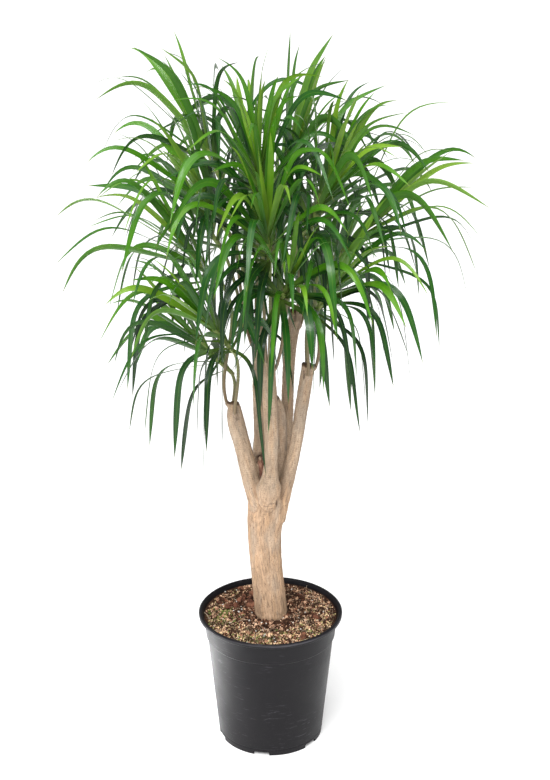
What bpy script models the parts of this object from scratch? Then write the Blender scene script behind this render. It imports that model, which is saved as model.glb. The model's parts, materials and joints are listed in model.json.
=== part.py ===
"""A potted dracaena: a nursery pot, its soil, a trunk that forks into cut canes, and leafy shoots.

Metres, +Z up. The origin is the centre of the pot's underside, on the floor, and the plant's
best side faces -Y.
"""

import math
import random
from collections import namedtuple

import bmesh
import bpy
from mathutils import Vector
from mathutils.bvhtree import BVHTree

# The pot
POT_HEIGHT = 0.265
RIM_RADIUS = 0.140
FOOT_RADIUS = 0.1022
COLLAR_HEIGHT = 0.2145
COLLAR_RADIUS = 0.1258
COLLAR_FLARE = 0.0040
WALL_TOP_RADIUS = 0.1230
WALL_THICKNESS = 0.0022
WALL_DRAFT = 0.0001
LIP_DEPTH = 0.010
FLOOR_RISE = 0.008
DISH_RADIUS = 0.052
TURNED_STEPS = 32
NOTCH_COUNT = 6
FIRST_NOTCH = -100
NOTCH_WIDTH = 0.030
NOTCH_HEIGHT = 0.0075
DRAIN_RADIUS = 0.005
DRAIN_CIRCLE = 0.080

# The soil
SOIL_LEVEL = 0.256
SOIL_LUMP = 0.003
HOLLOW_X = -0.072
HOLLOW_Y = 0.045
HOLLOW_REACH = 0.032
TRUNK_FOOT = 0.150

# What keeps two pieces from touching
CLEARANCE = 0.0003

# The shoots, each a thin stem with a spiral of blades round its end
STEM_RADIUS = 0.0031
HEAD_RADIUS = 0.0046
HEAD_LENGTH = 0.085
HEAD_BELOW_CROWN = 0.066
BUD_BELOW_CUT = 0.014
BUD_SPACING = 0.013
GOLDEN_ANGLE = math.radians(137.508)
SEED = 41

# The blades
BLADE_WIDTH = 0.0150
BLADE_ROOT_WIDTH = 0.0066
BLADE_DEPTH = 0.0016
BLADE_EDGE_RISE = 0.12
BLADE_STATIONS = (0.0, 0.17, 0.38, 0.58, 0.80, 1.0)
BROADEST = 0.45
POINT_POWER = 2.5
FOLD_LENGTH = 0.16
PATH_STEPS = 24
BLADE_MARGIN = 0.0012
MOST_TRIES = 26

# How blades set out and bend, in degrees and shares, for the youngest and more with age
YOUNG_SPREAD = 5
SPREAD_GROWTH = 74
YOUNG_DROOP = 0.5
DROOP_GROWTH = 3.1
EVEN_BEND = 0.15
FOLD_BEND = 2.9
YOUNG_FOLD = 0.80
FOLD_RETREAT = 0.38
MOST_SWAY = 0.22
MOST_TWIST = 1.5
NARROWEST = 0.52
WIDEST = 1.06

DOWN = Vector((0, 0, -1))
UP = Vector((0, 0, 1))

# Centre lines from the foot up: x, y, z and the radius there
TRUNK = (
    (0.001, 0.000, TRUNK_FOOT, 0.0300),
    (0.001, 0.000, 0.259, 0.0312),
    (-0.009, 0.000, 0.374, 0.0305),
    (-0.011, 0.000, 0.436, 0.0325),
    (-0.007, 0.000, 0.480, 0.0370),
    (-0.004, 0.004, 0.510, 0.0375),
    (-0.003, 0.006, 0.530, 0.0290),
)
CANES = {
    "left": (
        (-0.018, -0.012, 0.470, 0.0165),
        (-0.034, -0.020, 0.538, 0.0165),
        (-0.050, -0.020, 0.609, 0.0160),
        (-0.0625, -0.020, 0.659, 0.0160),
        (-0.0660, -0.020, 0.687, 0.0135),
        (-0.0650, -0.020, 0.704, 0.0078),
    ),
    "back_left": (
        (-0.012, 0.015, 0.480, 0.0150),
        (-0.020, 0.030, 0.564, 0.0145),
        (-0.018, 0.035, 0.627, 0.0138),
        (-0.0195, 0.040, 0.715, 0.0135),
        (-0.0200, 0.040, 0.784, 0.0130),
        (-0.0220, 0.040, 0.839, 0.0135),
    ),
    "front": (
        (-0.004, -0.020, 0.490, 0.0150),
        (-0.0035, -0.034, 0.522, 0.0198),
        (-0.0025, -0.0405, 0.542, 0.0225),
        (-0.0005, -0.041, 0.571, 0.0140),
        (0.002, -0.041, 0.637, 0.0130),
        (0.000, -0.040, 0.690, 0.0140),
        (-0.002, -0.040, 0.744, 0.0140),
        (-0.004, -0.040, 0.798, 0.0128),
    ),
    "middle": (
        (0.008, 0.006, 0.490, 0.0120),
        (0.018, 0.004, 0.564, 0.0120),
        (0.0205, 0.000, 0.625, 0.0112),
        (0.0175, -0.010, 0.682, 0.0095),
        (0.0090, -0.026, 0.716, 0.0060),
    ),
    "back_right": (
        (0.012, 0.014, 0.480, 0.0140),
        (0.026, 0.032, 0.547, 0.0125),
        (0.031, 0.042, 0.625, 0.0118),
        (0.033, 0.050, 0.710, 0.0115),
        (0.037, 0.050, 0.781, 0.0115),
        (0.048, 0.050, 0.859, 0.0125),
    ),
    "right": (
        (0.014, -0.006, 0.460, 0.0150),
        (0.023, -0.010, 0.503, 0.0138),
        (0.0345, -0.012, 0.556, 0.0133),
        (0.049, -0.012, 0.625, 0.0125),
        (0.060, -0.010, 0.704, 0.0120),
        (0.0695, -0.010, 0.774, 0.0118),
    ),
    "stub": (
        (-0.014, -0.008, 0.500, 0.0100),
        (-0.017, -0.012, 0.560, 0.0080),
        (-0.018, -0.014, 0.580, 0.0050),
    ),
}

# cane: what the shoot grows from; crown: where its young blades part; lean: the way its head points;
# reach: the length of its longest blades; blades: how many it has
Shoot = namedtuple("Shoot", "cane crown lean reach blades")
SHOOTS = (
    Shoot("back_right", (0.032, 0.000, 1.126), (0.36, 0.05, 0.93), 0.275, 15),
    Shoot("back_left", (-0.108, 0.030, 1.150), (-0.44, 0.10, 0.89), 0.28, 15),
    Shoot("back_left", (-0.098, -0.030, 1.062), (-0.50, -0.25, 0.83), 0.30, 15),
    Shoot("left", (-0.126, -0.020, 0.968), (-0.66, -0.15, 0.74), 0.31, 15),
    Shoot("left", (-0.098, -0.085, 0.862), (-0.50, -0.45, 0.74), 0.28, 15),
    Shoot("front", (-0.017, -0.120, 1.140), (-0.05, -0.38, 0.92), 0.26, 15),
    Shoot("back_right", (0.092, -0.050, 1.108), (0.38, -0.25, 0.89), 0.25, 15),
    Shoot("front", (0.082, -0.110, 1.085), (0.44, -0.38, 0.81), 0.28, 15),
    Shoot("right", (0.146, -0.010, 1.000), (0.76, -0.05, 0.65), 0.33, 15),
    Shoot("right", (0.102, -0.080, 0.925), (0.44, -0.52, 0.74), 0.27, 15),
    Shoot("left", (-0.120, 0.015, 0.798), (-0.72, 0.12, 0.68), 0.26, 14),
    Shoot("front", (-0.005, -0.140, 1.040), (-0.06, -0.52, 0.85), 0.28, 15),
    Shoot("back_left", (-0.036, 0.100, 1.110), (-0.15, 0.55, 0.82), 0.26, 13),
    Shoot("back_left", (-0.120, 0.112, 1.004), (-0.52, 0.64, 0.57), 0.26, 13),
    Shoot("back_right", (0.105, 0.110, 1.050), (0.45, 0.65, 0.61), 0.27, 14),
    Shoot("back_right", (0.010, 0.150, 0.990), (0.05, 0.85, 0.52), 0.27, 13),
    Shoot("right", (0.105, 0.095, 0.895), (0.45, 0.62, 0.64), 0.24, 14),
    Shoot("front", (0.030, -0.150, 0.960), (0.22, -0.74, 0.62), 0.25, 14),
)


def clear_scene():
    for obj in list(bpy.data.objects):
        bpy.data.objects.remove(obj, do_unlink=True)


def new_collection(name):
    made = bpy.data.collections.new(name)
    bpy.context.scene.collection.children.link(made)
    return made


def new_material(name, colour, roughness):
    made = bpy.data.materials.new(name)
    made.use_nodes = True
    shader = made.node_tree.nodes["Principled BSDF"]
    shader.inputs["Base Color"].default_value = (*colour, 1)
    shader.inputs["Roughness"].default_value = roughness
    shader.inputs["Metallic"].default_value = 0
    return made


def add_mesh(name, mesh, collection):
    obj = bpy.data.objects.new(name, mesh)
    collection.objects.link(obj)
    return obj


def plain_mesh(obj):
    """Replaces obj with a plain mesh object of its evaluated shape, its doubled points merged."""
    graph = bpy.context.evaluated_depsgraph_get()
    mesh = bpy.data.meshes.new_from_object(obj.evaluated_get(graph))
    work = bmesh.new()
    work.from_mesh(mesh)
    bmesh.ops.remove_doubles(work, verts=work.verts, dist=1e-6)
    work.to_mesh(mesh)
    work.free()
    name = obj.name
    collection = obj.users_collection[0]
    place = obj.matrix_world.copy()
    bpy.data.objects.remove(obj, do_unlink=True)
    made = add_mesh(name, mesh, collection)
    made.matrix_world = place
    return made


def join_with(obj, helpers, operation, solver="EXACT"):
    """Unites obj with a collection's objects, or cuts them from it, and removes them."""
    tool = obj.modifiers.new(operation.title(), "BOOLEAN")
    tool.operation = operation
    tool.operand_type = "COLLECTION"
    tool.collection = helpers
    tool.solver = solver
    made = plain_mesh(obj)
    for helper in list(helpers.objects):
        bpy.data.objects.remove(helper, do_unlink=True)
    bpy.data.collections.remove(helpers)
    return made


def turned(name, profile, collection):
    """A solid turned round Z. The profile runs from the axis over the top and down the outer side."""
    mesh = bpy.data.meshes.new(name)
    points = [(radius, 0, height) for radius, height in profile]
    edges = [(i, i + 1) for i in range(len(points) - 1)]
    mesh.from_pydata(points, edges, [])
    obj = add_mesh(name, mesh, collection)
    screw = obj.modifiers.new("Turn", "SCREW")
    screw.steps = TURNED_STEPS
    screw.render_steps = TURNED_STEPS
    screw.use_merge_vertices = True
    screw.merge_threshold = 1e-5
    return plain_mesh(obj)


def tube(name, route, radii, resolution, collection):
    """A round limb along a route, with a radius at each point and flat ends."""
    curve = bpy.data.curves.new(name, "CURVE")
    curve.dimensions = "3D"
    curve.bevel_depth = 1
    curve.bevel_resolution = resolution
    curve.use_fill_caps = True
    spline = curve.splines.new("POLY")
    spline.points.add(len(route) - 1)
    for point, place, radius in zip(spline.points, route, radii):
        point.co = (*place, 1)
        point.radius = radius
    obj = bpy.data.objects.new(name, curve)
    collection.objects.link(obj)
    return plain_mesh(obj)


def wall_radius(height, collar):
    """The pot's outer radius at a height, on the collar band or on the wall below it."""
    if collar:
        share = (height - COLLAR_HEIGHT) / (POT_HEIGHT - LIP_DEPTH - COLLAR_HEIGHT)
        return COLLAR_RADIUS + COLLAR_FLARE * share
    return FOOT_RADIUS + (WALL_TOP_RADIUS - FOOT_RADIUS) * height / COLLAR_HEIGHT


def flare_rows():
    """Where the inner wall starts to open towards the lip, and where it ends: radius and height."""
    start = POT_HEIGHT - 0.015
    return (
        (wall_radius(start, True) - WALL_THICKNESS - WALL_DRAFT, start),
        (RIM_RADIUS - 0.0085, POT_HEIGHT - 0.004),
    )


def make_pot(parts):
    inside = WALL_THICKNESS + WALL_DRAFT
    floor_top = FLOOR_RISE + WALL_THICKNESS
    profile = [
        (0, WALL_THICKNESS),
        (DISH_RADIUS - 0.002, WALL_THICKNESS),
        (DISH_RADIUS + 0.005, floor_top),
        (wall_radius(floor_top, False) - inside, floor_top),
        (wall_radius(COLLAR_HEIGHT, False) - inside, COLLAR_HEIGHT - 0.001),
        *flare_rows(),
        (RIM_RADIUS - 0.006, POT_HEIGHT),
        (RIM_RADIUS - 0.0015, POT_HEIGHT),
        (RIM_RADIUS, POT_HEIGHT - 0.0025),
        (RIM_RADIUS - 0.0008, POT_HEIGHT - 0.0075),
        (wall_radius(POT_HEIGHT - LIP_DEPTH, True), POT_HEIGHT - LIP_DEPTH),
        (wall_radius(COLLAR_HEIGHT + 0.002, True), COLLAR_HEIGHT + 0.002),
        (wall_radius(COLLAR_HEIGHT, False), COLLAR_HEIGHT - 0.0005),
        (FOOT_RADIUS, 0),
        (FOOT_RADIUS - 0.0028, 0),
        (FOOT_RADIUS - 0.0028, FLOOR_RISE),
        (DISH_RADIUS + 0.006, FLOOR_RISE),
        (DISH_RADIUS, 0),
        (0, 0),
    ]
    pot = turned("pot", profile, parts)
    cutters = new_collection("pot_cutters")
    for i in range(NOTCH_COUNT):
        turn = math.radians(FIRST_NOTCH + i * 360 / NOTCH_COUNT)
        outward = Vector((math.cos(turn), math.sin(turn), 0))
        bpy.ops.mesh.primitive_cube_add(size=1, location=outward * FOOT_RADIUS, rotation=(0, 0, turn))
        notch = bpy.context.object
        notch.scale = (0.012, NOTCH_WIDTH, 2 * NOTCH_HEIGHT)
        move_to(notch, cutters)
        drain_turn = turn + math.pi / NOTCH_COUNT
        drain_place = Vector((math.cos(drain_turn), math.sin(drain_turn), 0)) * DRAIN_CIRCLE
        bpy.ops.mesh.primitive_cylinder_add(
            vertices=8,
            radius=DRAIN_RADIUS,
            depth=0.030,
            location=drain_place + UP * FLOOR_RISE,
        )
        move_to(bpy.context.object, cutters)
    return join_with(pot, cutters, "DIFFERENCE", "MANIFOLD")


def move_to(obj, collection):
    for other in list(obj.users_collection):
        other.objects.unlink(obj)
    collection.objects.link(obj)
    obj.hide_render = True
    obj.display_type = "WIRE"


def lump(x, y):
    """How far the soil's surface stands above or below its level."""
    wave = math.sin(61 * x + 1.3) * math.cos(53 * y - 0.4)
    ripple = math.sin(149 * x - 97 * y) * 0.5
    mound = 1.2 * math.exp(-((x * x + y * y) / 0.0030))
    hollow = 2.2 * math.exp(-((math.hypot(x - HOLLOW_X, y - HOLLOW_Y) / HOLLOW_REACH) ** 2))
    return SOIL_LUMP * (wave + ripple + mound - hollow)


def make_soil(parts):
    floor_top = FLOOR_RISE + WALL_THICKNESS + CLEARANCE
    inside = WALL_THICKNESS + WALL_DRAFT + CLEARANCE
    (low_radius, low), (high_radius, high) = flare_rows()
    slant = (SOIL_LEVEL - low) / (high - low)
    edge_radius = low_radius + (high_radius - low_radius) * slant - 1.3 * CLEARANCE
    rings = [edge_radius * share for share in (0.84, 0.67, 0.50, 0.32)]
    profile = [(0, SOIL_LEVEL)]
    profile += [(radius, SOIL_LEVEL) for radius in reversed(rings)]
    profile += [
        (edge_radius, SOIL_LEVEL),
        (low_radius - CLEARANCE, low),
        (wall_radius(COLLAR_HEIGHT, False) - inside, COLLAR_HEIGHT - 0.001),
        (wall_radius(floor_top, False) - inside, floor_top),
        (DISH_RADIUS + 0.005 - CLEARANCE, floor_top),
        (DISH_RADIUS - 0.002 - CLEARANCE, WALL_THICKNESS + CLEARANCE),
        (0, WALL_THICKNESS + CLEARANCE),
    ]
    soil = turned("soil", profile, parts)
    for vertex in soil.data.vertices:
        x, y, z = vertex.co
        if z > SOIL_LEVEL - 1e-5 and math.hypot(x, y) < edge_radius - 1e-3:
            vertex.co.z = SOIL_LEVEL + lump(x, y)
    cutters = new_collection("soil_cutters")
    route = [Vector(row[:3]) for row in TRUNK]
    route[0] -= UP * CLEARANCE
    wider = CLEARANCE / math.cos(math.pi / 12)
    tube("trunk_hole", route, [row[3] + wider for row in TRUNK], 4, cutters)
    return join_with(soil, cutters, "DIFFERENCE")


def cane_point(cane, drop):
    """The point on a cane's centre line that is drop below its cut end, and the cane's radius there."""
    rows = [Vector(row) for row in reversed(cane)]
    for top, below in zip(rows, rows[1:]):
        span = (top.xyz - below.xyz).length
        if drop <= span:
            break
        drop -= span
    row = top.lerp(below, drop / span)
    return row.xyz, row.w


def bezier(start, leave, arrive, end, steps):
    """Points on a cubic curve, its start left out."""
    points = []
    for i in range(1, steps + 1):
        t = i / steps
        s = 1 - t
        points.append(s**3 * start + 3 * s * s * t * leave + 3 * s * t * t * arrive + t**3 * end)
    return points


def stem_route(shoot, rank):
    """A stem's centre line and radii: out of the cane's side, up to the head, and through it.

    rank counts the shoots below each other on one cane.
    """
    bud, cane_radius = cane_point(CANES[shoot.cane], BUD_BELOW_CUT + rank * BUD_SPACING)
    lean = Vector(shoot.lean).normalized()
    base = Vector(shoot.crown) - lean * HEAD_BELOW_CROWN
    out = base - bud
    out.z = 0
    out.normalize()
    rise = (out + 0.60 * UP).normalized()
    inner = bud + out * cane_radius * 0.30
    mouth = bud + rise * (cane_radius + 0.006)
    span = (base - mouth).length
    leave = mouth + (rise + 1.5 * UP).normalized() * span * 0.30
    arrive = base - (lean + 0.4 * UP).normalized() * span * 0.35
    route = [inner, mouth] + bezier(mouth, leave, arrive, base, 4)
    tip_way = (lean + 0.15 * UP).normalized()
    middle = base + lean * HEAD_LENGTH * 0.5
    tip = middle + tip_way * HEAD_LENGTH * 0.5
    route += [middle, tip]
    radii = [STEM_RADIUS] * (len(route) - 3)
    radii += [HEAD_RADIUS * 0.92, HEAD_RADIUS, HEAD_RADIUS * 0.85]
    return route, radii


def blade_width(along, width):
    """The blade's width at a share of its length: clasping root, long broad part, short point."""
    if along < BROADEST:
        swell = math.sin(math.pi / 2 * along / BROADEST)
        return BLADE_ROOT_WIDTH + (width - BLADE_ROOT_WIDTH) * swell
    return width * (1 - ((along - BROADEST) / (1 - BROADEST)) ** POINT_POWER)


def blade_path(root, heading, axis, length, droop, fold, sway, twist):
    """Places and directions along a blade that sets out along heading and folds over under its weight.

    Its upper face looks towards the axis that it grows from. Each entry holds the place, the way
    forward, the way to the blade's side and the way out of its upper face.
    """
    forward = heading.normalized()
    side = forward.cross(axis).normalized()
    place = root.copy()
    path = []
    for i in range(PATH_STEPS + 1):
        path.append((place.copy(), forward.copy(), side.copy(), side.cross(forward)))
        along = (i + 0.5) / PATH_STEPS
        place += forward * (length / PATH_STEPS)
        bend = EVEN_BEND + FOLD_BEND * math.exp(-(((along - fold) / FOLD_LENGTH) ** 2))
        pull = droop * bend / PATH_STEPS
        forward = (forward + pull * DOWN + sway / PATH_STEPS * side).normalized()
        side = (side - side.dot(forward) * forward).normalized()
        side = (side + twist / PATH_STEPS * side.cross(forward)).normalized()
    return path


def blade_rings(path, width, stations, margin):
    """Cross-sections of a blade. A margin widens them, for the room that the blade needs."""
    rings = []
    for along in stations:
        place, _, side, upper = path[round(along * PATH_STEPS)]
        half = 0.5 * blade_width(along, width) + margin
        depth = BLADE_DEPTH * (1 - 0.55 * along)
        edge_rise = BLADE_EDGE_RISE * half
        left = place + side * half + upper * (edge_rise + margin)
        right = place - side * half + upper * (edge_rise + margin)
        if margin:
            lower = upper * (depth + margin)
            rings.append([left, right, place - side * half - lower, place + side * half - lower])
        else:
            rings.append([left, right, place - upper * depth])
    return rings


def ways_along(points):
    """The direction of a path at each of its points."""
    last = len(points) - 1
    return [
        (points[min(i + 1, last)] - points[max(i - 1, 0)]).normalized() for i in range(last + 1)
    ]


def limb_rings(route, radii):
    """Six-sided cross-sections of the room that a stem or a cane needs."""
    rings = []
    for place, way, radius in zip(route, ways_along(route), radii):
        side = way.cross(Vector((0, 1, 0))).normalized()
        other = way.cross(side)
        reach = radius / math.cos(math.pi / 6) + BLADE_MARGIN * 0.5
        ring = []
        for i in range(6):
            turn = i * math.pi / 3
            ring.append(place + (math.cos(turn) * side + math.sin(turn) * other) * reach)
        rings.append(ring)
    return rings


def ring_faces(count, sides):
    """Triangles between rings of points, and over both ends."""
    faces = [tuple(range(sides))]
    for ring in range(count - 1):
        for i in range(sides):
            a = ring * sides + i
            b = ring * sides + (i + 1) % sides
            faces.append((a, b + sides, b))
            faces.append((a, a + sides, b + sides))
    faces.append(tuple(reversed(range((count - 1) * sides, count * sides))))
    return faces


def surface_tree(rings):
    points = [point for ring in rings for point in ring]
    return BVHTree.FromPolygons(points, ring_faces(len(rings), len(rings[0])), epsilon=0)


class Room:
    """The space that a blade, a stem or a cane takes up, and the head that it belongs to."""

    def __init__(self, head, rings, free_rings):
        self.head = head
        self.whole = surface_tree(rings)
        self.free = surface_tree(free_rings)
        points = [point for ring in rings for point in ring]
        self.low = [min(point[i] for point in points) for i in range(3)]
        self.high = [max(point[i] for point in points) for i in range(3)]

    def near(self, other):
        for i in range(3):
            if self.low[i] > other.high[i] or other.low[i] > self.high[i]:
                return False
        return True


class Blade(Room):
    """One blade: its path and width, and the room round it."""

    def __init__(self, head, path, width):
        self.width = width
        self.path = path
        whole = blade_rings(path, width, BLADE_STATIONS, BLADE_MARGIN)
        free = blade_rings(path, width, BLADE_STATIONS[1:], BLADE_MARGIN * 0.2)
        super().__init__(head, whole, free)


def limb_room(head, route, radii):
    rings = limb_rings(route, radii)
    return Room(head, rings, rings)


def crossings(blade, others):
    """How many pieces of its own head the blade crosses, or None where it meets another head's."""
    own = 0
    for other in others:
        if not blade.near(other):
            continue
        if other.head == blade.head:
            own += bool(blade.free.overlap(other.free))
        elif blade.whole.overlap(other.whole):
            return None
    return own


def grow_blade(head, shoot, route, age, turn, others, draw):
    """The first of many tries at a blade that crosses nothing, or the best of them.

    age runs from 0 for the youngest blade, at the tip, to 1 for the oldest.
    """
    middle = route[-2]
    tip = route[-1]
    place = tip.lerp(middle, 2 * age) if age < 0.5 else middle.lerp(route[-3], 2 * age - 1)
    axis = (tip - middle).normalized()
    across = axis.cross(Vector((0.3, 0.9, 0.2))).normalized()
    best = None
    fewest = 1
    for attempt in range(MOST_TRIES):
        loose = attempt / MOST_TRIES
        azimuth = turn + draw.uniform(-0.12, 0.12) + draw.uniform(-0.7, 0.7) * loose
        spread = math.radians(YOUNG_SPREAD + SPREAD_GROWTH * age**1.4 + draw.uniform(-5, 5) * (1 + loose))
        outward = math.cos(azimuth) * across + math.sin(azimuth) * axis.cross(across)
        heading = math.cos(spread) * axis + math.sin(spread) * outward
        length = shoot.reach * (0.62 + 0.38 * math.sin(math.pi / 2 * min(1, 0.05 + age / 0.50)))
        length *= draw.uniform(0.90, 1.06) * (1 - 0.22 * loose)
        width = BLADE_WIDTH * draw.uniform(NARROWEST, WIDEST) * (0.88 + 0.12 * math.sin(math.pi * age))
        droop = (YOUNG_DROOP + DROOP_GROWTH * age**0.7) * draw.uniform(0.70, 1.30)
        fold = YOUNG_FOLD - FOLD_RETREAT * age + draw.uniform(-0.14, 0.14)
        sway = draw.uniform(-MOST_SWAY, MOST_SWAY)
        twist = draw.uniform(-MOST_TWIST, MOST_TWIST)
        path = blade_path(place, heading, axis, length, droop, fold, sway, twist)
        blade = Blade(head, path, width)
        crossed = crossings(blade, others)
        if crossed is not None and crossed < fewest:
            best = blade
            fewest = crossed
            if not crossed:
                break
    return best


def make_blade(name, blade, collection):
    """A thin blade with a flat upper face and a keel below, lofted along its path to a point."""
    rings = blade_rings(blade.path, blade.width, BLADE_STATIONS[:-1], 0)
    work = bmesh.new()
    rows = [[work.verts.new(point) for point in ring] for ring in rings]
    point = work.verts.new(blade.path[-1][0])
    work.faces.new(rows[0])
    for lower, upper in zip(rows, rows[1:]):
        for i in range(3):
            j = (i + 1) % 3
            work.faces.new((lower[i], upper[j], lower[j]))
            work.faces.new((lower[i], upper[i], upper[j]))
    for i in range(3):
        work.faces.new((rows[-1][i], point, rows[-1][(i + 1) % 3]))
    bmesh.ops.recalc_face_normals(work, faces=work.faces)
    if work.calc_volume(signed=True) < 0:
        bmesh.ops.reverse_faces(work, faces=work.faces)
    mesh = bpy.data.meshes.new(name)
    work.to_mesh(mesh)
    work.free()
    return add_mesh(name, mesh, collection)


def make_trunk(parts):
    route = [Vector(row[:3]) for row in TRUNK]
    trunk = tube("trunk", route, [row[3] for row in TRUNK], 4, parts)
    canes = new_collection("canes")
    for name, rows in CANES.items():
        tube(name, [Vector(row[:3]) for row in rows], [row[3] for row in rows], 3, canes)
    return join_with(trunk, canes, "UNION")


def cut_sockets(trunk, routes):
    """Plain holes in the canes' sides, a clearance wider than the stems that stand in them."""
    sockets = new_collection("sockets")
    for i, (route, radii) in enumerate(routes):
        start = route[0] - (route[1] - route[0]).normalized() * CLEARANCE
        wider = CLEARANCE / math.cos(math.pi / 6)
        tube(f"socket_{i}", [start] + route[1:3], [radius + wider for radius in radii[:3]], 1, sockets)
    return join_with(trunk, sockets, "DIFFERENCE")


def paint(obj, material):
    obj.data.materials.clear()
    obj.data.materials.append(material)


def smooth(obj, angle):
    obj.data.shade_smooth()
    obj.data.set_sharp_from_angle(angle=math.radians(angle))


def main():
    clear_scene()
    parts = new_collection("potted_dracaena")
    plastic = new_material("pot_plastic", (0.030, 0.030, 0.034), 0.55)
    earth = new_material("soil", (0.085, 0.048, 0.030), 0.95)
    bark = new_material("bark", (0.500, 0.370, 0.250), 0.85)
    foliage = new_material("leaf", (0.085, 0.230, 0.035), 0.38)

    pot = make_pot(parts)
    paint(pot, plastic)
    soil = make_soil(parts)
    paint(soil, earth)

    ranks = {}
    routes = []
    for shoot in SHOOTS:
        rank = ranks.get(shoot.cane, 0)
        ranks[shoot.cane] = rank + 1
        routes.append(stem_route(shoot, rank))

    trunk = cut_sockets(make_trunk(parts), routes)
    paint(trunk, bark)

    stems = []
    for i, (route, radii) in enumerate(routes):
        stems.append(tube(f"shoot_{i + 1:02d}", route, radii, 1, parts))
    others = []
    for rows in (TRUNK, *CANES.values()):
        others.append(limb_room(None, [Vector(row[:3]) for row in rows], [row[3] for row in rows]))
    for i, (route, radii) in enumerate(routes):
        others.append(limb_room(i, route, radii))

    draws = [random.Random(SEED + i) for i in range(len(SHOOTS))]
    for step in range(max(shoot.blades for shoot in SHOOTS)):
        for i, shoot in enumerate(SHOOTS):
            if step >= shoot.blades:
                continue
            age = step / (shoot.blades - 1)
            turn = i + step * GOLDEN_ANGLE
            blade = grow_blade(i, shoot, routes[i][0], age, turn, others, draws[i])
            if blade:
                others.append(blade)

    for i, stem in enumerate(stems):
        blades = new_collection(f"blades_{i + 1:02d}")
        own = [other for other in others if isinstance(other, Blade) and other.head == i]
        for j, blade in enumerate(own):
            make_blade(f"blade_{i + 1:02d}_{j + 1:02d}", blade, blades)
        head = join_with(stem, blades, "UNION", "MANIFOLD")
        paint(head, foliage)
        smooth(head, 50)
    smooth(pot, 35)
    smooth(soil, 60)
    smooth(trunk, 50)


if __name__ == "__main__":
    main()
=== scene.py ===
"""Looks of a potted dracaena: nursery pot, planting soil, forked trunk, leafy shoots and a plain studio.

Laid out as a Blender add-on and run as a script. Metres, +Z up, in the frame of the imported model.
"""

import json
import math
import random
from collections import namedtuple

import bmesh
import bpy
import numpy as np
from bpy.props import FloatProperty, FloatVectorProperty, IntProperty, PointerProperty
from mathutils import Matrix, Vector, noise
from mathutils.bvhtree import BVHTree

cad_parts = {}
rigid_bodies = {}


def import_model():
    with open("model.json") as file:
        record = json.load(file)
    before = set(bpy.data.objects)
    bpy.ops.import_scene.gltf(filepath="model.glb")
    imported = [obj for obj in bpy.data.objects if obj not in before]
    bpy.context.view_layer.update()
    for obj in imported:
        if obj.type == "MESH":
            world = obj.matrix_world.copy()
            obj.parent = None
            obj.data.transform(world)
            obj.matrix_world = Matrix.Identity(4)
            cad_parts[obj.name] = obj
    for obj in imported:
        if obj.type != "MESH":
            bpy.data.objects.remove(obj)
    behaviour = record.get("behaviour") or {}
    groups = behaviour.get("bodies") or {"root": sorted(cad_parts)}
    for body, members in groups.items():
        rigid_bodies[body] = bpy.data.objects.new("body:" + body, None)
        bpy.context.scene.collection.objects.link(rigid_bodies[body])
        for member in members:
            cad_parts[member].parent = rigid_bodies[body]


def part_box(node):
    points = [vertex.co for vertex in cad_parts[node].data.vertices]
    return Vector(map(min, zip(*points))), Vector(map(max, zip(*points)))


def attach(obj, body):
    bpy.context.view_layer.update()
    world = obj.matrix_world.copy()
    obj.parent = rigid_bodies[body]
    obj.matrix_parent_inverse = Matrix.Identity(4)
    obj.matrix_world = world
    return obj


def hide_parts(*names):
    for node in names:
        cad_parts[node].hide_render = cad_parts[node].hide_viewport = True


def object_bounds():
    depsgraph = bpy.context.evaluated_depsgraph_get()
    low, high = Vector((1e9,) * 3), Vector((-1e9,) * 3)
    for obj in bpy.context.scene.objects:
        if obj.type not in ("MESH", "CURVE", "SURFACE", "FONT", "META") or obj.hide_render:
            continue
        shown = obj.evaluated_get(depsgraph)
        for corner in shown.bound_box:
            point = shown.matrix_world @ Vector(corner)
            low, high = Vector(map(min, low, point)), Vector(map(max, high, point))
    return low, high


bl_info = {
    "name": "Potted Dracaena",
    "version": (1, 0, 0),
    "blender": (4, 5, 0),
    "location": "View3D > Sidebar > Dracaena",
    "description": "Builds the finish of a potted dracaena around its packed model",
    "category": "Add Mesh",
}

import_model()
CAD_LOW, CAD_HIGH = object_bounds()
BODY = "root"

UP = Vector((0, 0, 1))
DOWN = Vector((0, 0, -1))
ACROSS = Vector((0, 1, 0))
FULL_TURN = 2 * math.pi
MERGE_DISTANCE = 1e-6
BOX_MARGIN = 0.00005

# The pot
POT_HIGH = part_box("pot")[1]
POT_HEIGHT = POT_HIGH.z
RIM_RADIUS = POT_HIGH.x
FOOT_RADIUS = 0.1022
COLLAR_HEIGHT = 0.2145
COLLAR_RADIUS = 0.1258
COLLAR_FLARE = 0.0040
WALL_TOP_RADIUS = 0.1230
WALL_THICKNESS = 0.0022
WALL_DRAFT = 0.0001
LIP_DEPTH = 0.010
FLOOR_RISE = 0.008
DISH_RADIUS = 0.052
NOTCH_COUNT = 6
FIRST_NOTCH = -100
NOTCH_WIDTH = 0.030
NOTCH_HEIGHT = 0.0075
DRAIN_RADIUS = 0.005
DRAIN_CIRCLE = 0.080
FOOT_LINE_HEIGHT = 0.0130
FOOT_LINE_HALF = 0.0012
FOOT_LINE_DEPTH = 0.0005

# Where the pot's inner wall is dirty, by its depth and height, and where a painted highlight lies along its
# lip's outer edge
DIRT_DEPTHS = (0.0008, 0.0014)
DIRT_HEIGHTS = (0.242, 0.246)
LIP_HIGHLIGHT_RADII = (0.1378, 0.1394)
LIP_HIGHLIGHT_HEIGHTS = (0.2600, 0.2618)

# The soil
SOIL_LEVEL = 0.256
SOIL_LUMP = 0.003
HOLLOW_X = -0.072
HOLLOW_Y = 0.045
HOLLOW_REACH = 0.032
CLEARANCE = 0.0003
BED_CELLS = 96
BARE_RADIUS = 0.0315

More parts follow.
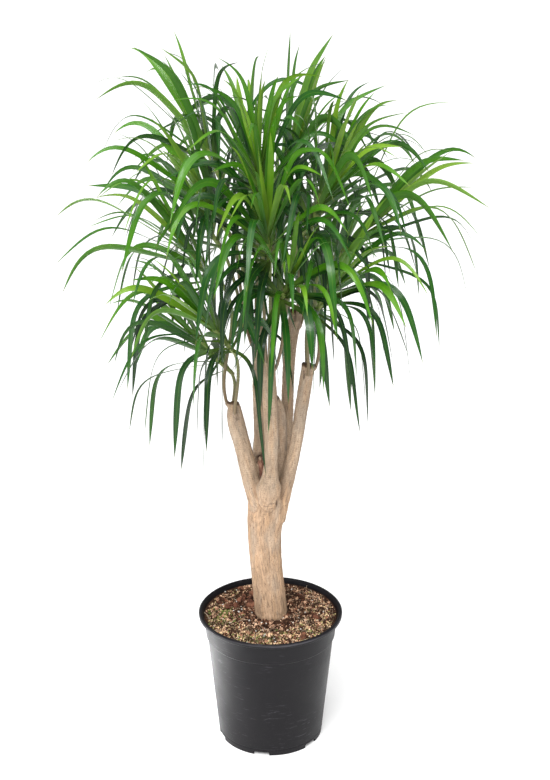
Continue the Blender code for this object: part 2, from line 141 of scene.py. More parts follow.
# The shoots
TRUNK_FOOT = 0.150
STEM_RADIUS = 0.0031
HEAD_RADIUS = 0.0046
HEAD_LENGTH = 0.085
HEAD_BELOW_CROWN = 0.066
BUD_BELOW_CUT = 0.014
BUD_SPACING = 0.013
GOLDEN_ANGLE = math.radians(137.508)
SEED = 41

# The blades
BLADE_WIDTH = 0.0150
BLADE_ROOT_WIDTH = 0.0066
BLADE_DEPTH = 0.0016
BLADE_EDGE_RISE = 0.12
BLADE_STATIONS = (0.0, 0.17, 0.38, 0.58, 0.80, 1.0)
BROADEST = 0.45
POINT_POWER = 2.5
FOLD_LENGTH = 0.16
PATH_STEPS = 24
BLADE_MARGIN = 0.0012
MOST_TRIES = 26

# How blades set out and bend, in degrees and shares, for the youngest and more with age
YOUNG_SPREAD = 5
SPREAD_GROWTH = 74
YOUNG_DROOP = 0.5
DROOP_GROWTH = 3.1
EVEN_BEND = 0.15
FOLD_BEND = 2.9
YOUNG_FOLD = 0.80
FOLD_RETREAT = 0.38

# How much blades differ: the most either way, or the shares that they lie between
MOST_SWAY = 0.22
MOST_TWIST = 1.5
WIDTH_RANGE = (0.52, 1.06)
LENGTH_RANGE = (0.90, 1.06)
DROOP_RANGE = (0.70, 1.30)
FOLD_JITTER = 0.14
SPREAD_JITTER = 5
TURN_JITTER = 0.12

# How far later tries may swing a blade round its stem, and how much shorter they make it
SEARCH_SWING = 0.7
SEARCH_CUT = 0.22

# How many of the extra blades a head has, and how that falls to the sides and low down
MIDDLE_FULLNESS = 1.45
SIDE_LOSS = 0.93
SIDE_REACH = 0.12
LOW_LOSS = 0.15
LOW_HEADS = 0.95

# Centre lines from the foot up: x, y, z and the radius there
TRUNK = (
    (0.001, 0.000, TRUNK_FOOT, 0.0300),
    (0.001, 0.000, 0.259, 0.0312),
    (-0.009, 0.000, 0.374, 0.0305),
    (-0.011, 0.000, 0.436, 0.0325),
    (-0.007, 0.000, 0.480, 0.0370),
    (-0.004, 0.004, 0.510, 0.0375),
    (-0.003, 0.006, 0.530, 0.0290),
)
CANES = {
    "left": (
        (-0.018, -0.012, 0.470, 0.0165),
        (-0.034, -0.020, 0.538, 0.0165),
        (-0.050, -0.020, 0.609, 0.0160),
        (-0.0625, -0.020, 0.659, 0.0160),
        (-0.0660, -0.020, 0.687, 0.0135),
        (-0.0650, -0.020, 0.704, 0.0078),
    ),
    "back_left": (
        (-0.012, 0.015, 0.480, 0.0150),
        (-0.020, 0.030, 0.564, 0.0145),
        (-0.018, 0.035, 0.627, 0.0138),
        (-0.0195, 0.040, 0.715, 0.0135),
        (-0.0200, 0.040, 0.784, 0.0130),
        (-0.0220, 0.040, 0.839, 0.0135),
    ),
    "front": (
        (-0.004, -0.020, 0.490, 0.0150),
        (-0.0035, -0.034, 0.522, 0.0198),
        (-0.0025, -0.0405, 0.542, 0.0225),
        (-0.0005, -0.041, 0.571, 0.0140),
        (0.002, -0.041, 0.637, 0.0130),
        (0.000, -0.040, 0.690, 0.0140),
        (-0.002, -0.040, 0.744, 0.0140),
        (-0.004, -0.040, 0.798, 0.0128),
    ),
    "middle": (
        (0.008, 0.006, 0.490, 0.0120),
        (0.018, 0.004, 0.564, 0.0120),
        (0.0205, 0.000, 0.625, 0.0112),
        (0.0175, -0.010, 0.682, 0.0095),
        (0.0090, -0.026, 0.716, 0.0060),
    ),
    "back_right": (
        (0.012, 0.014, 0.480, 0.0140),
        (0.026, 0.032, 0.547, 0.0125),
        (0.031, 0.042, 0.625, 0.0118),
        (0.033, 0.050, 0.710, 0.0115),
        (0.037, 0.050, 0.781, 0.0115),
        (0.048, 0.050, 0.859, 0.0125),
    ),
    "right": (
        (0.014, -0.006, 0.460, 0.0150),
        (0.023, -0.010, 0.503, 0.0138),
        (0.0345, -0.012, 0.556, 0.0133),
        (0.049, -0.012, 0.625, 0.0125),
        (0.060, -0.010, 0.704, 0.0120),
        (0.0695, -0.010, 0.774, 0.0118),
    ),
    "stub": (
        (-0.014, -0.008, 0.500, 0.0100),
        (-0.017, -0.012, 0.560, 0.0080),
        (-0.018, -0.014, 0.580, 0.0050),
    ),
}

# cane: what the shoot grows from; crown: where its young blades part; lean: the way its head points;
# reach: the length of its longest blades; blades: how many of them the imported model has
Shoot = namedtuple("Shoot", "cane crown lean reach blades")
SHOOTS = (
    Shoot("back_right", (0.032, 0.000, 1.126), (0.36, 0.05, 0.93), 0.275, 15),
    Shoot("back_left", (-0.108, 0.030, 1.150), (-0.44, 0.10, 0.89), 0.28, 15),
    Shoot("back_left", (-0.098, -0.030, 1.062), (-0.50, -0.25, 0.83), 0.30, 15),
    Shoot("left", (-0.126, -0.020, 0.968), (-0.66, -0.15, 0.74), 0.31, 15),
    Shoot("left", (-0.098, -0.085, 0.862), (-0.50, -0.45, 0.74), 0.28, 15),
    Shoot("front", (-0.017, -0.120, 1.140), (-0.05, -0.38, 0.92), 0.26, 15),
    Shoot("back_right", (0.092, -0.050, 1.108), (0.38, -0.25, 0.89), 0.25, 15),
    Shoot("front", (0.082, -0.110, 1.085), (0.44, -0.38, 0.81), 0.28, 15),
    Shoot("right", (0.146, -0.010, 1.000), (0.76, -0.05, 0.65), 0.33, 15),
    Shoot("right", (0.102, -0.080, 0.925), (0.44, -0.52, 0.74), 0.27, 15),
    Shoot("left", (-0.120, 0.015, 0.798), (-0.72, 0.12, 0.68), 0.26, 14),
    Shoot("front", (-0.005, -0.140, 1.040), (-0.06, -0.52, 0.85), 0.28, 15),
    Shoot("back_left", (-0.036, 0.100, 1.110), (-0.15, 0.55, 0.82), 0.26, 13),
    Shoot("back_left", (-0.120, 0.112, 1.004), (-0.52, 0.64, 0.57), 0.26, 13),
    Shoot("back_right", (0.105, 0.110, 1.050), (0.45, 0.65, 0.61), 0.27, 14),
    Shoot("back_right", (0.010, 0.150, 0.990), (0.05, 0.85, 0.52), 0.27, 13),
    Shoot("right", (0.105, 0.095, 0.895), (0.45, 0.62, 0.64), 0.24, 14),
    Shoot("front", (0.030, -0.150, 0.960), (0.22, -0.74, 0.62), 0.25, 14),
)

# A blade's cross-section, for a half width of 1: out of the upper face, across, and whether it is below
BLADE_SECTION = (
    (0.160, -1.00, 0),
    (0.070, -0.50, 0),
    (0.000, 0.00, 0),
    (0.070, 0.50, 0),
    (0.160, 1.00, 0),
    (0.020, 0.50, 1),
    (-0.095, 0.00, 1),
    (0.020, -0.50, 1),
)
STEM_SIDES = 10

# Where the bark turns from the trunk's to the canes', and how fast, and where the stub's wood is raw
CANE_BARK_LOW = 0.505
CANE_BARK_SPAN = 0.05
RAW_WOOD_LOW = 0.548
RAW_WOOD_SPAN = 0.008

# The bark's thickening just above the soil
FOOT_BARK_HEIGHT = 0.261
FOOT_BARK_SPAN = 0.007

# The camera, fitted to the photograph: metres, degrees and millimetres
CAMERA_PLACE = (0, -2.5, 1.63)
CAMERA_ANGLES = (70, 0, -0.201)
SENSOR_WIDTH = 36
LENS = 66.65
FLOOR_REACH = 60


# Nodes


def socket_of(sockets, key):
    """The socket with that identifier, or else with that name."""
    for found in sockets:
        if found.identifier == key:
            return found
    return sockets[key]


def put(tree, kind, feeds=None, **settings):
    """A new node with its settings. Each feed is a value, or another node's output to link."""
    made = tree.nodes.new(kind)
    for name, value in settings.items():
        setattr(made, name, value)
    for key, value in (feeds or {}).items():
        inlet = socket_of(made.inputs, key)
        if isinstance(value, bpy.types.NodeSocket):
            tree.links.new(value, inlet)
        else:
            inlet.default_value = value
    return made


def got(tree, kind, feeds=None, output=0, **settings):
    """What a new node puts out, by that output's name or number."""
    return socket_of(put(tree, kind, feeds, **settings).outputs, output)


def geometry_tree(name, **inputs):
    """A Geometry Nodes group with a mesh in, a mesh out and named inputs, each a kind of socket."""
    tree = bpy.data.node_groups.new(name, "GeometryNodeTree")
    tree.interface.new_socket("Geometry", in_out="INPUT", socket_type="NodeSocketGeometry")
    for label, kind in inputs.items():
        tree.interface.new_socket(label, in_out="INPUT", socket_type="NodeSocket" + kind)
    tree.interface.new_socket("Geometry", in_out="OUTPUT", socket_type="NodeSocketGeometry")
    return tree, put(tree, "NodeGroupInput").outputs


def named_field(tree, name, data_type="FLOAT"):
    feeds = {"Name": name}
    return got(tree, "GeometryNodeInputNamedAttribute", feeds, "Attribute", data_type=data_type)


def close_tree(tree, geometry, material):
    """Ends a tree with real geometry that wears its material."""
    real = got(tree, "GeometryNodeRealizeInstances", {"Geometry": geometry})
    painted = got(tree, "GeometryNodeSetMaterial", {"Geometry": real, "Material": material})
    put(tree, "NodeGroupOutput", {"Geometry": painted})
    return tree


def sweep_tree():
    """Sweeps a profile along paths, as wide as half_width says and facing the way of face_out."""
    tree, given = geometry_tree("Sweep Along Paths", Profile="Object", Finish="Material")
    paths = got(tree, "GeometryNodeMeshToCurve", {"Mesh": given["Geometry"]})
    normal = named_field(tree, "face_out", "FLOAT_VECTOR")
    facing = got(tree, "GeometryNodeSetCurveNormal", {"Curve": paths, "Normal": normal}, mode="FREE")
    profile = got(tree, "GeometryNodeObjectInfo", {"Object": given["Profile"]}, "Geometry")
    feeds = {
        "Curve": facing,
        "Profile Curve": got(tree, "GeometryNodeMeshToCurve", {"Mesh": profile}),
        "Scale": named_field(tree, "half_width"),
        "Fill Caps": True,
    }
    return close_tree(tree, got(tree, "GeometryNodeCurveToMesh", feeds), given["Finish"])


def scatter_tree():
    """Strews copies of a collection's objects over a surface, where its mask lets them lie."""
    measures = dict.fromkeys(("Spacing", "Density", "Smallest", "Largest", "Tilt", "Rise"), "Float")
    tree, given = geometry_tree(
        "Strew Over Surface", Grains="Collection", Mask="String", **measures, Seed="Int", Finish="Material"
    )

    def drawn(low, high, key, data_type):
        """A random value for each point."""
        feeds = {"Min" + key: low, "Max" + key: high, "Seed": given["Seed"]}
        return got(tree, "FunctionNodeRandomValue", feeds, "Value" + key, data_type=data_type)

    feeds = {
        "Mesh": given["Geometry"],
        "Distance Min": given["Spacing"],
        "Density Max": given["Density"],
        "Density Factor": named_field(tree, given["Mask"]),
        "Seed": given["Seed"],
    }
    spots = got(tree, "GeometryNodeDistributePointsOnFaces", feeds, distribute_method="POISSON")
    feeds = {"Geometry": spots, "Name": "tone", "Value": drawn(0.0, 1.0, "_001", "FLOAT")}
    toned = got(tree, "GeometryNodeStoreNamedAttribute", feeds, data_type="FLOAT", domain="POINT")
    lift = got(tree, "ShaderNodeCombineXYZ", {"Z": given["Rise"]})
    raised = got(tree, "GeometryNodeSetPosition", {"Geometry": toned, "Offset": lift})
    tilt = given["Tilt"]
    least = got(tree, "ShaderNodeMath", {0: tilt, 1: -1.0}, operation="MULTIPLY")
    low = got(tree, "ShaderNodeCombineXYZ", {"X": least, "Y": least, "Z": 0.0})
    high = got(tree, "ShaderNodeCombineXYZ", {"X": tilt, "Y": tilt, "Z": FULL_TURN})
    feeds = {"Collection": given["Grains"], "Separate Children": True, "Reset Children": True}
    grains = got(tree, "GeometryNodeCollectionInfo", feeds)
    feeds = {
        "Points": raised,
        "Instance": grains,
        "Pick Instance": True,
        "Rotation": drawn(low, high, "", "FLOAT_VECTOR"),
        "Scale": drawn(given["Smallest"], given["Largest"], "_001", "FLOAT"),
    }
    return close_tree(tree, got(tree, "GeometryNodeInstanceOnPoints", feeds), given["Finish"])


def run_tree(obj, tree, values):
    """Runs obj through a tree with these inputs and returns it as a plain mesh object."""
    modifier = obj.modifiers.new(tree.name, "NODES")
    modifier.node_group = tree
    for item in tree.interface.items_tree:
        if item.item_type == "SOCKET" and item.in_out == "INPUT" and item.name in values:
            modifier[item.identifier] = values[item.name]
    obj.update_tag()
    return plain(obj)


# Meshes


def add_object(name, mesh):
    obj = bpy.data.objects.new(name, mesh)
    bpy.context.scene.collection.objects.link(obj)
    return obj


def plain(obj):
    """Replaces obj with a plain mesh object of its evaluated shape."""
    bpy.context.view_layer.update()
    graph = bpy.context.evaluated_depsgraph_get()
    mesh = bpy.data.meshes.new_from_object(obj.evaluated_get(graph))
    name = obj.name
    mesh.transform(obj.matrix_world)
    bpy.data.objects.remove(obj, do_unlink=True)
    made = add_object(name, mesh)
    made.name = name
    mesh.name = name
    return made


def mesh_from(name, points, edges=(), faces=()):
    mesh = bpy.data.meshes.new(name)
    mesh.from_pydata([tuple(point) for point in points], list(edges), list(faces))
    return mesh


def store(mesh, name, kind, values):
    """Keeps one value for each point of a mesh under a name."""
    layer = mesh.attributes.new(name, kind, "POINT")
    flat = np.asarray(values, np.float32).ravel()
    layer.data.foreach_set("vector" if kind == "FLOAT_VECTOR" else "value", flat)


def points_of(mesh):
    flat = np.empty(len(mesh.vertices) * 3, np.float32)
    mesh.vertices.foreach_get("co", flat)
    return flat.reshape(-1, 3).astype(np.float64)


def set_points(mesh, points):
    mesh.vertices.foreach_set("co", np.asarray(points, np.float32).ravel())
    mesh.update()


def face_outwards(obj):
    """Turns a closed mesh right side out if it was made inside out."""
    work = bmesh.new()
    work.from_mesh(obj.data)
    if work.calc_volume(signed=True) < 0:
        bmesh.ops.reverse_faces(work, faces=work.faces)
        work.to_mesh(obj.data)
    work.free()


def turn_faces_out(mesh, merge=0.0):
    """Merges points closer than merge and turns a closed mesh's faces outwards."""
    work = bmesh.new()
    work.from_mesh(mesh)
    if merge:
        bmesh.ops.remove_doubles(work, verts=work.verts, dist=merge)
    bmesh.ops.recalc_face_normals(work, faces=work.faces)
    work.to_mesh(mesh)
    work.free()


def wear(obj, material):
    obj.data.materials.clear()
    obj.data.materials.append(material)


def hand_over(obj, slot, *nodes):
    """Attaches a finished piece to its body and hides the imported nodes that it stands for. Its slot is not
    used.
    """
    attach(obj, BODY)
    if nodes:
        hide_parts(*nodes)


def finish_piece(obj, angle, material, slot, *nodes):
    """Turns a closed piece right side out, shades it up to an angle, colours it and hands it over."""
    face_outwards(obj)
    obj.data.shade_smooth()
    obj.data.set_sharp_from_angle(angle=math.radians(angle))
    wear(obj, material)
    hand_over(obj, slot, *nodes)


def helper_collection(name):
    made = bpy.data.collections.new(name)
    bpy.context.scene.collection.children.link(made)
    return made


def drop_collection(collection):
    for obj in list(collection.objects):
        bpy.data.objects.remove(obj, do_unlink=True)
    bpy.data.collections.remove(collection)


def cut_away(obj, cutters):
    """Cuts a collection's objects from obj and removes them."""
    tool = obj.modifiers.new("Cut", "BOOLEAN")
    tool.operation = "DIFFERENCE"
    tool.operand_type = "COLLECTION"
    tool.collection = cutters
    tool.solver = "MANIFOLD"
    made = plain(obj)
    drop_collection(cutters)
    return made


def fillet(corners, steps):
    """The points of an outline whose corners, each x, z and a radius, are rounded off with arcs."""
    points = []
    for i, (x, z, radius) in enumerate(corners):
        corner = Vector((x, z))
        if not radius or i in (0, len(corners) - 1):
            points.append(corner)
            continue
        before = Vector(corners[i - 1][:2]) - corner
        after = Vector(corners[i + 1][:2]) - corner
        back = min(radius, before.length * 0.48, after.length * 0.48)
        start = corner + before.normalized() * back
        end = corner + after.normalized() * back
        for j in range(steps + 1):
            t = j / steps
            points.append((1 - t) ** 2 * start + 2 * t * (1 - t) * corner + t * t * end)
    return points


def turned(name, outline, steps):
    """A solid turned round Z from an outline that runs down its outer side."""
    edges = [(i, i + 1) for i in range(len(outline) - 1)]
    obj = add_object(name, mesh_from(name, [(x, 0, z) for x, z in outline], edges))
    screw = obj.modifiers.new("Turn", "SCREW")
    screw.steps = steps
    screw.render_steps = steps
    screw.use_merge_vertices = True
    screw.merge_threshold = MERGE_DISTANCE
    made = plain(obj)
    turn_faces_out(made.data, MERGE_DISTANCE)
    return made


# Directions and rows


def smooth_rows(rows, spacing):
    """Rows of x, y, z and radius read from a smooth curve through the given ones."""
    rows = [Vector(row) for row in rows]
    made = []
    for i in range(len(rows) - 1):
        before = rows[max(i - 1, 0)]
        start = rows[i]
        end = rows[i + 1]
        after = rows[min(i + 2, len(rows) - 1)]
        steps = max(1, math.ceil((end - start).length / spacing))
        for j in range(steps):
            t = j / steps
            bend = (2 * before - 5 * start + 4 * end - after) * t * t
            swing = (3 * start - before - 3 * end + after) * t * t * t
            made.append(0.5 * (2 * start + (end - before) * t + bend + swing))
    made.append(rows[-1])
    return made


def ways_along(points):
    """The direction of a path at each of its points."""
    last = len(points) - 1
    return [(points[min(i + 1, last)] - points[max(i - 1, 0)]).normalized() for i in range(last + 1)]


def swung(first, second, turn):
    """A direction turned from the first towards the second, which is square to it."""
    return math.cos(turn) * first + math.sin(turn) * second


def ring_round(place, side, other, radius, sides):
    return [place + swung(side, other, i * FULL_TURN / sides) * radius for i in range(sides)]


def flat_way(turn):
    """The direction in the floor's plane at an angle from X."""
    return Vector((math.cos(turn), math.sin(turn), 0))


def side_of(way):
    """A direction square to a way, and to Y."""
    return way.cross(ACROSS).normalized()


def rows_of(*spots):
    """Rows of x, y, z and radius from pairs of a point and a radius."""
    return [(*point, radius) for point, radius in spots]


def places_in(rows):
    return [Vector(row[:3]) for row in rows]


def unit(value):
    """The value, held between 0 and 1."""
    return min(1.0, max(0.0, value))


# Growth


def cane_point(cane, drop):
    """The point on a cane's centre line that is drop below its cut end, and the cane's radius there."""
    rows = [Vector(row) for row in reversed(cane)]
    for top, below in zip(rows, rows[1:]):
        span = (top.xyz - below.xyz).length
        if drop <= span:
            break
        drop -= span
    row = top.lerp(below, drop / span)
    return row.xyz, row.w


def bezier(start, leave, arrive, end, steps):
    """Points on a cubic curve, its start left out."""
    points = []
    for i in range(1, steps + 1):
        t = i / steps
        s = 1 - t
        points.append(s**3 * start + 3 * s * s * t * leave + 3 * s * t * t * arrive + t**3 * end)
    return points


def stem_route(shoot, rank, steps=4):
    """A stem's centre line and radii: out of the cane's side, up to the head, and through it.

    rank counts the shoots below each other on one cane.
    """
    bud, cane_radius = cane_point(CANES[shoot.cane], BUD_BELOW_CUT + rank * BUD_SPACING)
    lean = Vector(shoot.lean).normalized()
    base = Vector(shoot.crown) - lean * HEAD_BELOW_CROWN
    out = base - bud
    out.z = 0
    out.normalize()
    rise = (out + 0.60 * UP).normalized()
    inner = bud + out * cane_radius * 0.30
    mouth = bud + rise * (cane_radius + 0.006)
    span = (base - mouth).length
    leave = mouth + (rise + 1.5 * UP).normalized() * span * 0.30
    arrive = base - (lean + 0.4 * UP).normalized() * span * 0.35
    route = [inner, mouth] + bezier(mouth, leave, arrive, base, steps)
    tip_way = (lean + 0.15 * UP).normalized()
    middle = base + lean * HEAD_LENGTH * 0.5
    tip = middle + tip_way * HEAD_LENGTH * 0.5
    route += [middle, tip]
    radii = [STEM_RADIUS] * (len(route) - 3)
    radii += [HEAD_RADIUS * 0.92, HEAD_RADIUS, HEAD_RADIUS * 0.85]
    return route, radii


def all_routes(steps=4):
    ranks = {}
    routes = []
    for shoot in SHOOTS:
        rank = ranks.get(shoot.cane, 0)
        ranks[shoot.cane] = rank + 1
        routes.append(stem_route(shoot, rank, steps))
    return routes


def blade_width(along, width):
    """The blade's width at a share of its length: clasping root, long broad part, short point."""
    if along < BROADEST:
        swell = math.sin(math.pi / 2 * along / BROADEST)
        return BLADE_ROOT_WIDTH + (width - BLADE_ROOT_WIDTH) * swell
    return width * (1 - ((along - BROADEST) / (1 - BROADEST)) ** POINT_POWER)


def blade_path(root, heading, axis, length, droop, fold, sway, twist):
    """Places and directions along a blade that sets out along heading and folds over under its weight.

    Its upper face looks towards the axis that it grows from. Each entry holds the place, the way
    forward, the way to the blade's side and the way out of its upper face.
    """
    forward = heading.normalized()
    side = forward.cross(axis).normalized()
    place = root.copy()
    path = []
    for i in range(PATH_STEPS + 1):
        path.append((place.copy(), forward.copy(), side.copy(), side.cross(forward)))
        along = (i + 0.5) / PATH_STEPS
        place += forward * (length / PATH_STEPS)
        bend = EVEN_BEND + FOLD_BEND * math.exp(-(((along - fold) / FOLD_LENGTH) ** 2))
        pull = droop * bend / PATH_STEPS
        forward = (forward + pull * DOWN + sway / PATH_STEPS * side).normalized()
        side = (side - side.dot(forward) * forward).normalized()
        side = (side + twist / PATH_STEPS * side.cross(forward)).normalized()
    return path


def blade_rings(path, width, stations, margin):
    """Cross-sections of the room that a blade needs, a margin outside it."""
    rings = []
    for along in stations:
        place, _, side, upper = path[round(along * PATH_STEPS)]
        half = 0.5 * blade_width(along, width) + margin
        lower = upper * (BLADE_DEPTH * (1 - 0.55 * along) + margin)
        left = place + side * half + upper * (BLADE_EDGE_RISE * half + margin)
        right = place - side * half + upper * (BLADE_EDGE_RISE * half + margin)
        rings.append([left, right, place - side * half - lower, place + side * half - lower])
    return rings


def limb_rings(route, radii, margin):
    """Six-sided cross-sections of the room that a stem or a cane needs."""
    rings = []
    for place, way, radius in zip(route, ways_along(route), radii):
        side = side_of(way)
        reach = radius / math.cos(math.pi / 6) + margin
        rings.append(ring_round(place, side, way.cross(side), reach, 6))
    return rings


def surface_tree(rings):
    """The closed surface round a row of rings, for finding what touches it."""
    sides = len(rings[0])
    faces = [tuple(range(sides))]
    for ring in range(len(rings) - 1):
        for i in range(sides):
            a = ring * sides + i
            b = ring * sides + (i + 1) % sides
            faces.append((a, b + sides, b))
            faces.append((a, a + sides, b + sides))
    faces.append(tuple(reversed(range((len(rings) - 1) * sides, len(rings) * sides))))
    return BVHTree.FromPolygons([point for ring in rings for point in ring], faces, epsilon=0)


class Room:
    """The space that a blade, a stem or a cane takes up, and the head that it belongs to."""

    def __init__(self, head, rings, free_rings):
        self.head = head
        self.whole = surface_tree(rings)
        self.free = surface_tree(free_rings)
        points = [point for ring in rings for point in ring]
        self.low = [min(point[i] for point in points) for i in range(3)]
        self.high = [max(point[i] for point in points) for i in range(3)]

    def near(self, other):
        return all(self.low[i] <= other.high[i] and other.low[i] <= self.high[i] for i in range(3))

    def within(self, low, high):
        return all(self.low[i] >= low[i] and self.high[i] <= high[i] for i in range(3))


class Blade(Room):
    """One blade: its path and width, and the room round it."""

    def __init__(self, head, path, width):
        self.width = width
        self.path = path
        whole = blade_rings(path, width, BLADE_STATIONS, BLADE_MARGIN)
        free = blade_rings(path, width, BLADE_STATIONS[1:], BLADE_MARGIN * 0.2)
        super().__init__(head, whole, free)


def limb_room(head, route, radii):
    rings = limb_rings(route, radii, BLADE_MARGIN * 0.5)
    return Room(head, rings, rings)


def crosses(blade, others):
    """Whether the blade meets another piece. On its own head its root may touch others."""
    for other in others:
        if not blade.near(other):
            continue
        if other.head == blade.head:
            met = blade.free.overlap(other.free)
        else:
            met = blade.whole.overlap(other.whole)
        if met:
            return True
    return False


def grow_blade(head, shoot, route, age, turn, others, draw, inside):
    """The first of many tries at a blade that crosses nothing, or None.

    age runs from 0 for the youngest blade, at the tip, to 1 for the oldest. Where inside is given,
    as the corners of a box, a blade that leaves it is passed over.
    """
    middle = route[-2]
    tip = route[-1]
    place = tip.lerp(middle, 2 * age) if age < 0.5 else middle.lerp(route[-3], 2 * age - 1)
    axis = (tip - middle).normalized()
    across = axis.cross(Vector((0.3, 0.9, 0.2))).normalized()
    for attempt in range(MOST_TRIES):
        loose = attempt / MOST_TRIES
        azimuth = turn + draw.uniform(-TURN_JITTER, TURN_JITTER)
        azimuth += draw.uniform(-SEARCH_SWING, SEARCH_SWING) * loose
        spread = YOUNG_SPREAD + SPREAD_GROWTH * age**1.4
        spread = math.radians(spread + draw.uniform(-SPREAD_JITTER, SPREAD_JITTER) * (1 + loose))
        outward = swung(across, axis.cross(across), azimuth)
        heading = swung(axis, outward, spread)
        length = shoot.reach * (0.62 + 0.38 * math.sin(math.pi / 2 * min(1, 0.05 + age / 0.50)))
        length *= draw.uniform(*LENGTH_RANGE) * (1 - SEARCH_CUT * loose)
        width = BLADE_WIDTH * draw.uniform(*WIDTH_RANGE) * (0.88 + 0.12 * math.sin(math.pi * age))
        droop = (YOUNG_DROOP + DROOP_GROWTH * age**0.7) * draw.uniform(*DROOP_RANGE)
        fold = YOUNG_FOLD - FOLD_RETREAT * age + draw.uniform(-FOLD_JITTER, FOLD_JITTER)
        sway = draw.uniform(-MOST_SWAY, MOST_SWAY)
        twist = draw.uniform(-MOST_TWIST, MOST_TWIST)
        blade = Blade(head, blade_path(place, heading, axis, length, droop, fold, sway, twist), width)
        if inside and not blade.within(*inside):
            continue
        if not crosses(blade, others):
            return blade
    return None


def fullness(shoot):
    """A head's share of the extra blades: fewer at the sides and low down, where light comes through."""
    low = LOW_LOSS if shoot.crown[2] < LOW_HEADS else 0.0
    return MIDDLE_FULLNESS - SIDE_LOSS * min(1.0, abs(shoot.crown[0]) / SIDE_REACH) - low


def grow_crown(more):
    """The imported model's blades, then more of them between those. Each has its age."""
    routes = all_routes()
    others = []
    for rows in (TRUNK, *CANES.values()):
        others.append(limb_room(None, places_in(rows), [row[3] for row in rows]))
    for i, (route, radii) in enumerate(routes):
        others.append(limb_room(i, route, radii))
    grown = [[] for _ in SHOOTS]
    packed = [shoot.blades for shoot in SHOOTS]
    extra = [round(more * fullness(shoot)) for shoot in SHOOTS]
    rounds = ((packed, SEED, 0.0, 1, None), (extra, SEED + 100, 0.5, 0, (CAD_LOW, CAD_HIGH)))
    for counts, seed, shift, ends, inside in rounds:
        draws = [random.Random(seed + i) for i in range(len(SHOOTS))]
        for step in range(max(counts)):
            for i, shoot in enumerate(SHOOTS):
                if step >= counts[i]:
                    continue
                age = (step + shift) / (counts[i] - ends)
                turn = i + shift * GOLDEN_ANGLE + step * GOLDEN_ANGLE
                blade = grow_blade(i, shoot, routes[i][0], age, turn, others, draws[i], inside)
                if blade:
                    others.append(blade)
                    grown[i].append((blade, age))
    return grown


# Materials


class Look:
    """A material in the making. Its values are numbers, colours or the outputs of its other nodes."""

    def __init__(self, name):
        self.made = bpy.data.materials.new(name)
        self.made.use_nodes = True
        self.tree = self.made.node_tree
        self.tree.nodes.clear()
        self.shader = put(self.tree, "ShaderNodeBsdfPrincipled")
        put(self.tree, "ShaderNodeOutputMaterial", {"Surface": self.shader.outputs["BSDF"]})
        self.place = self.of("TexCoord", output="Object")

    def of(self, kind, feeds=None, output=0, **settings):
        return got(self.tree, "ShaderNode" + kind, feeds, output, **settings)

    def attribute(self, name, output="Fac"):
        return self.of("Attribute", output=output, attribute_name=name)

    def noise(self, scale, detail=3.0, roughness=0.5, stretch=1):
        """Noise over the place, its height first scaled by stretch."""
        place = self.place
        if stretch != 1:
            place = self.of("Mapping", {"Vector": place, "Scale": (1, 1, stretch)})
        feeds = {"Vector": place, "Scale": scale, "Detail": detail, "Roughness": roughness}
        return self.of("TexNoise", feeds)

    def ramp(self, value, *stops):
        """A colour ramp through stops, each a place and a colour or a grey level."""
        made = put(self.tree, "ShaderNodeValToRGB", {"Fac": value})
        elements = made.color_ramp.elements
        while len(elements) < len(stops):
            elements.new(0.5)
        for element, (place, colour) in zip(elements, stops):
            element.position = place
            element.color = (colour,) * 3 + (1,) if isinstance(colour, (int, float)) else (*colour, 1)
        return made.outputs["Color"]

    def mix(self, share, first, second, blend="MIX"):
        feeds = {"Factor_Float": share, "A_Color": first, "B_Color": second}
        for key in ("A_Color", "B_Color"):
            if not isinstance(feeds[key], bpy.types.NodeSocket):
                feeds[key] = (*feeds[key][:3], 1)
        return self.of("Mix", feeds, "Result_Color", data_type="RGBA", blend_type=blend)

    def maths(self, operation, first, second=0):
        return self.of("Math", {0: first, 1: second}, operation=operation)

    def times(self, first, second):
        return self.maths("MULTIPLY", first, second)

    def between(self, value, low, high, to_low=0.0, to_high=1.0):
        feeds = {"Value": value, "From Min": low, "From Max": high, "To Min": to_low, "To Max": to_high}
        return self.of("MapRange", feeds)

    def coat(self, base, mask, share, colour):
        """The base with a colour over it where the mask is, at most by a share."""
        return self.mix(self.times(mask, share), base, colour)

    def finish(self, bumps, **inputs):
        """Stacks bumps, each a height, a strength and a distance, and sets or links shader sockets.

        The sockets' names have spaces for underscores.
        """
        for height, strength, distance in bumps:
            feeds = {"Height": height, "Strength": strength, "Distance": distance}
            if "Normal" in inputs:
                feeds["Normal"] = inputs["Normal"]
            inputs["Normal"] = self.of("Bump", feeds)
        for name, value in inputs.items():
            inlet = self.shader.inputs[name.replace("_", " ")]
            if isinstance(value, bpy.types.NodeSocket):
                self.tree.links.new(value, inlet)
            else:
                inlet.default_value = value
        return self.made


def tinted(colour, share):
    return tuple(share * part for part in colour)


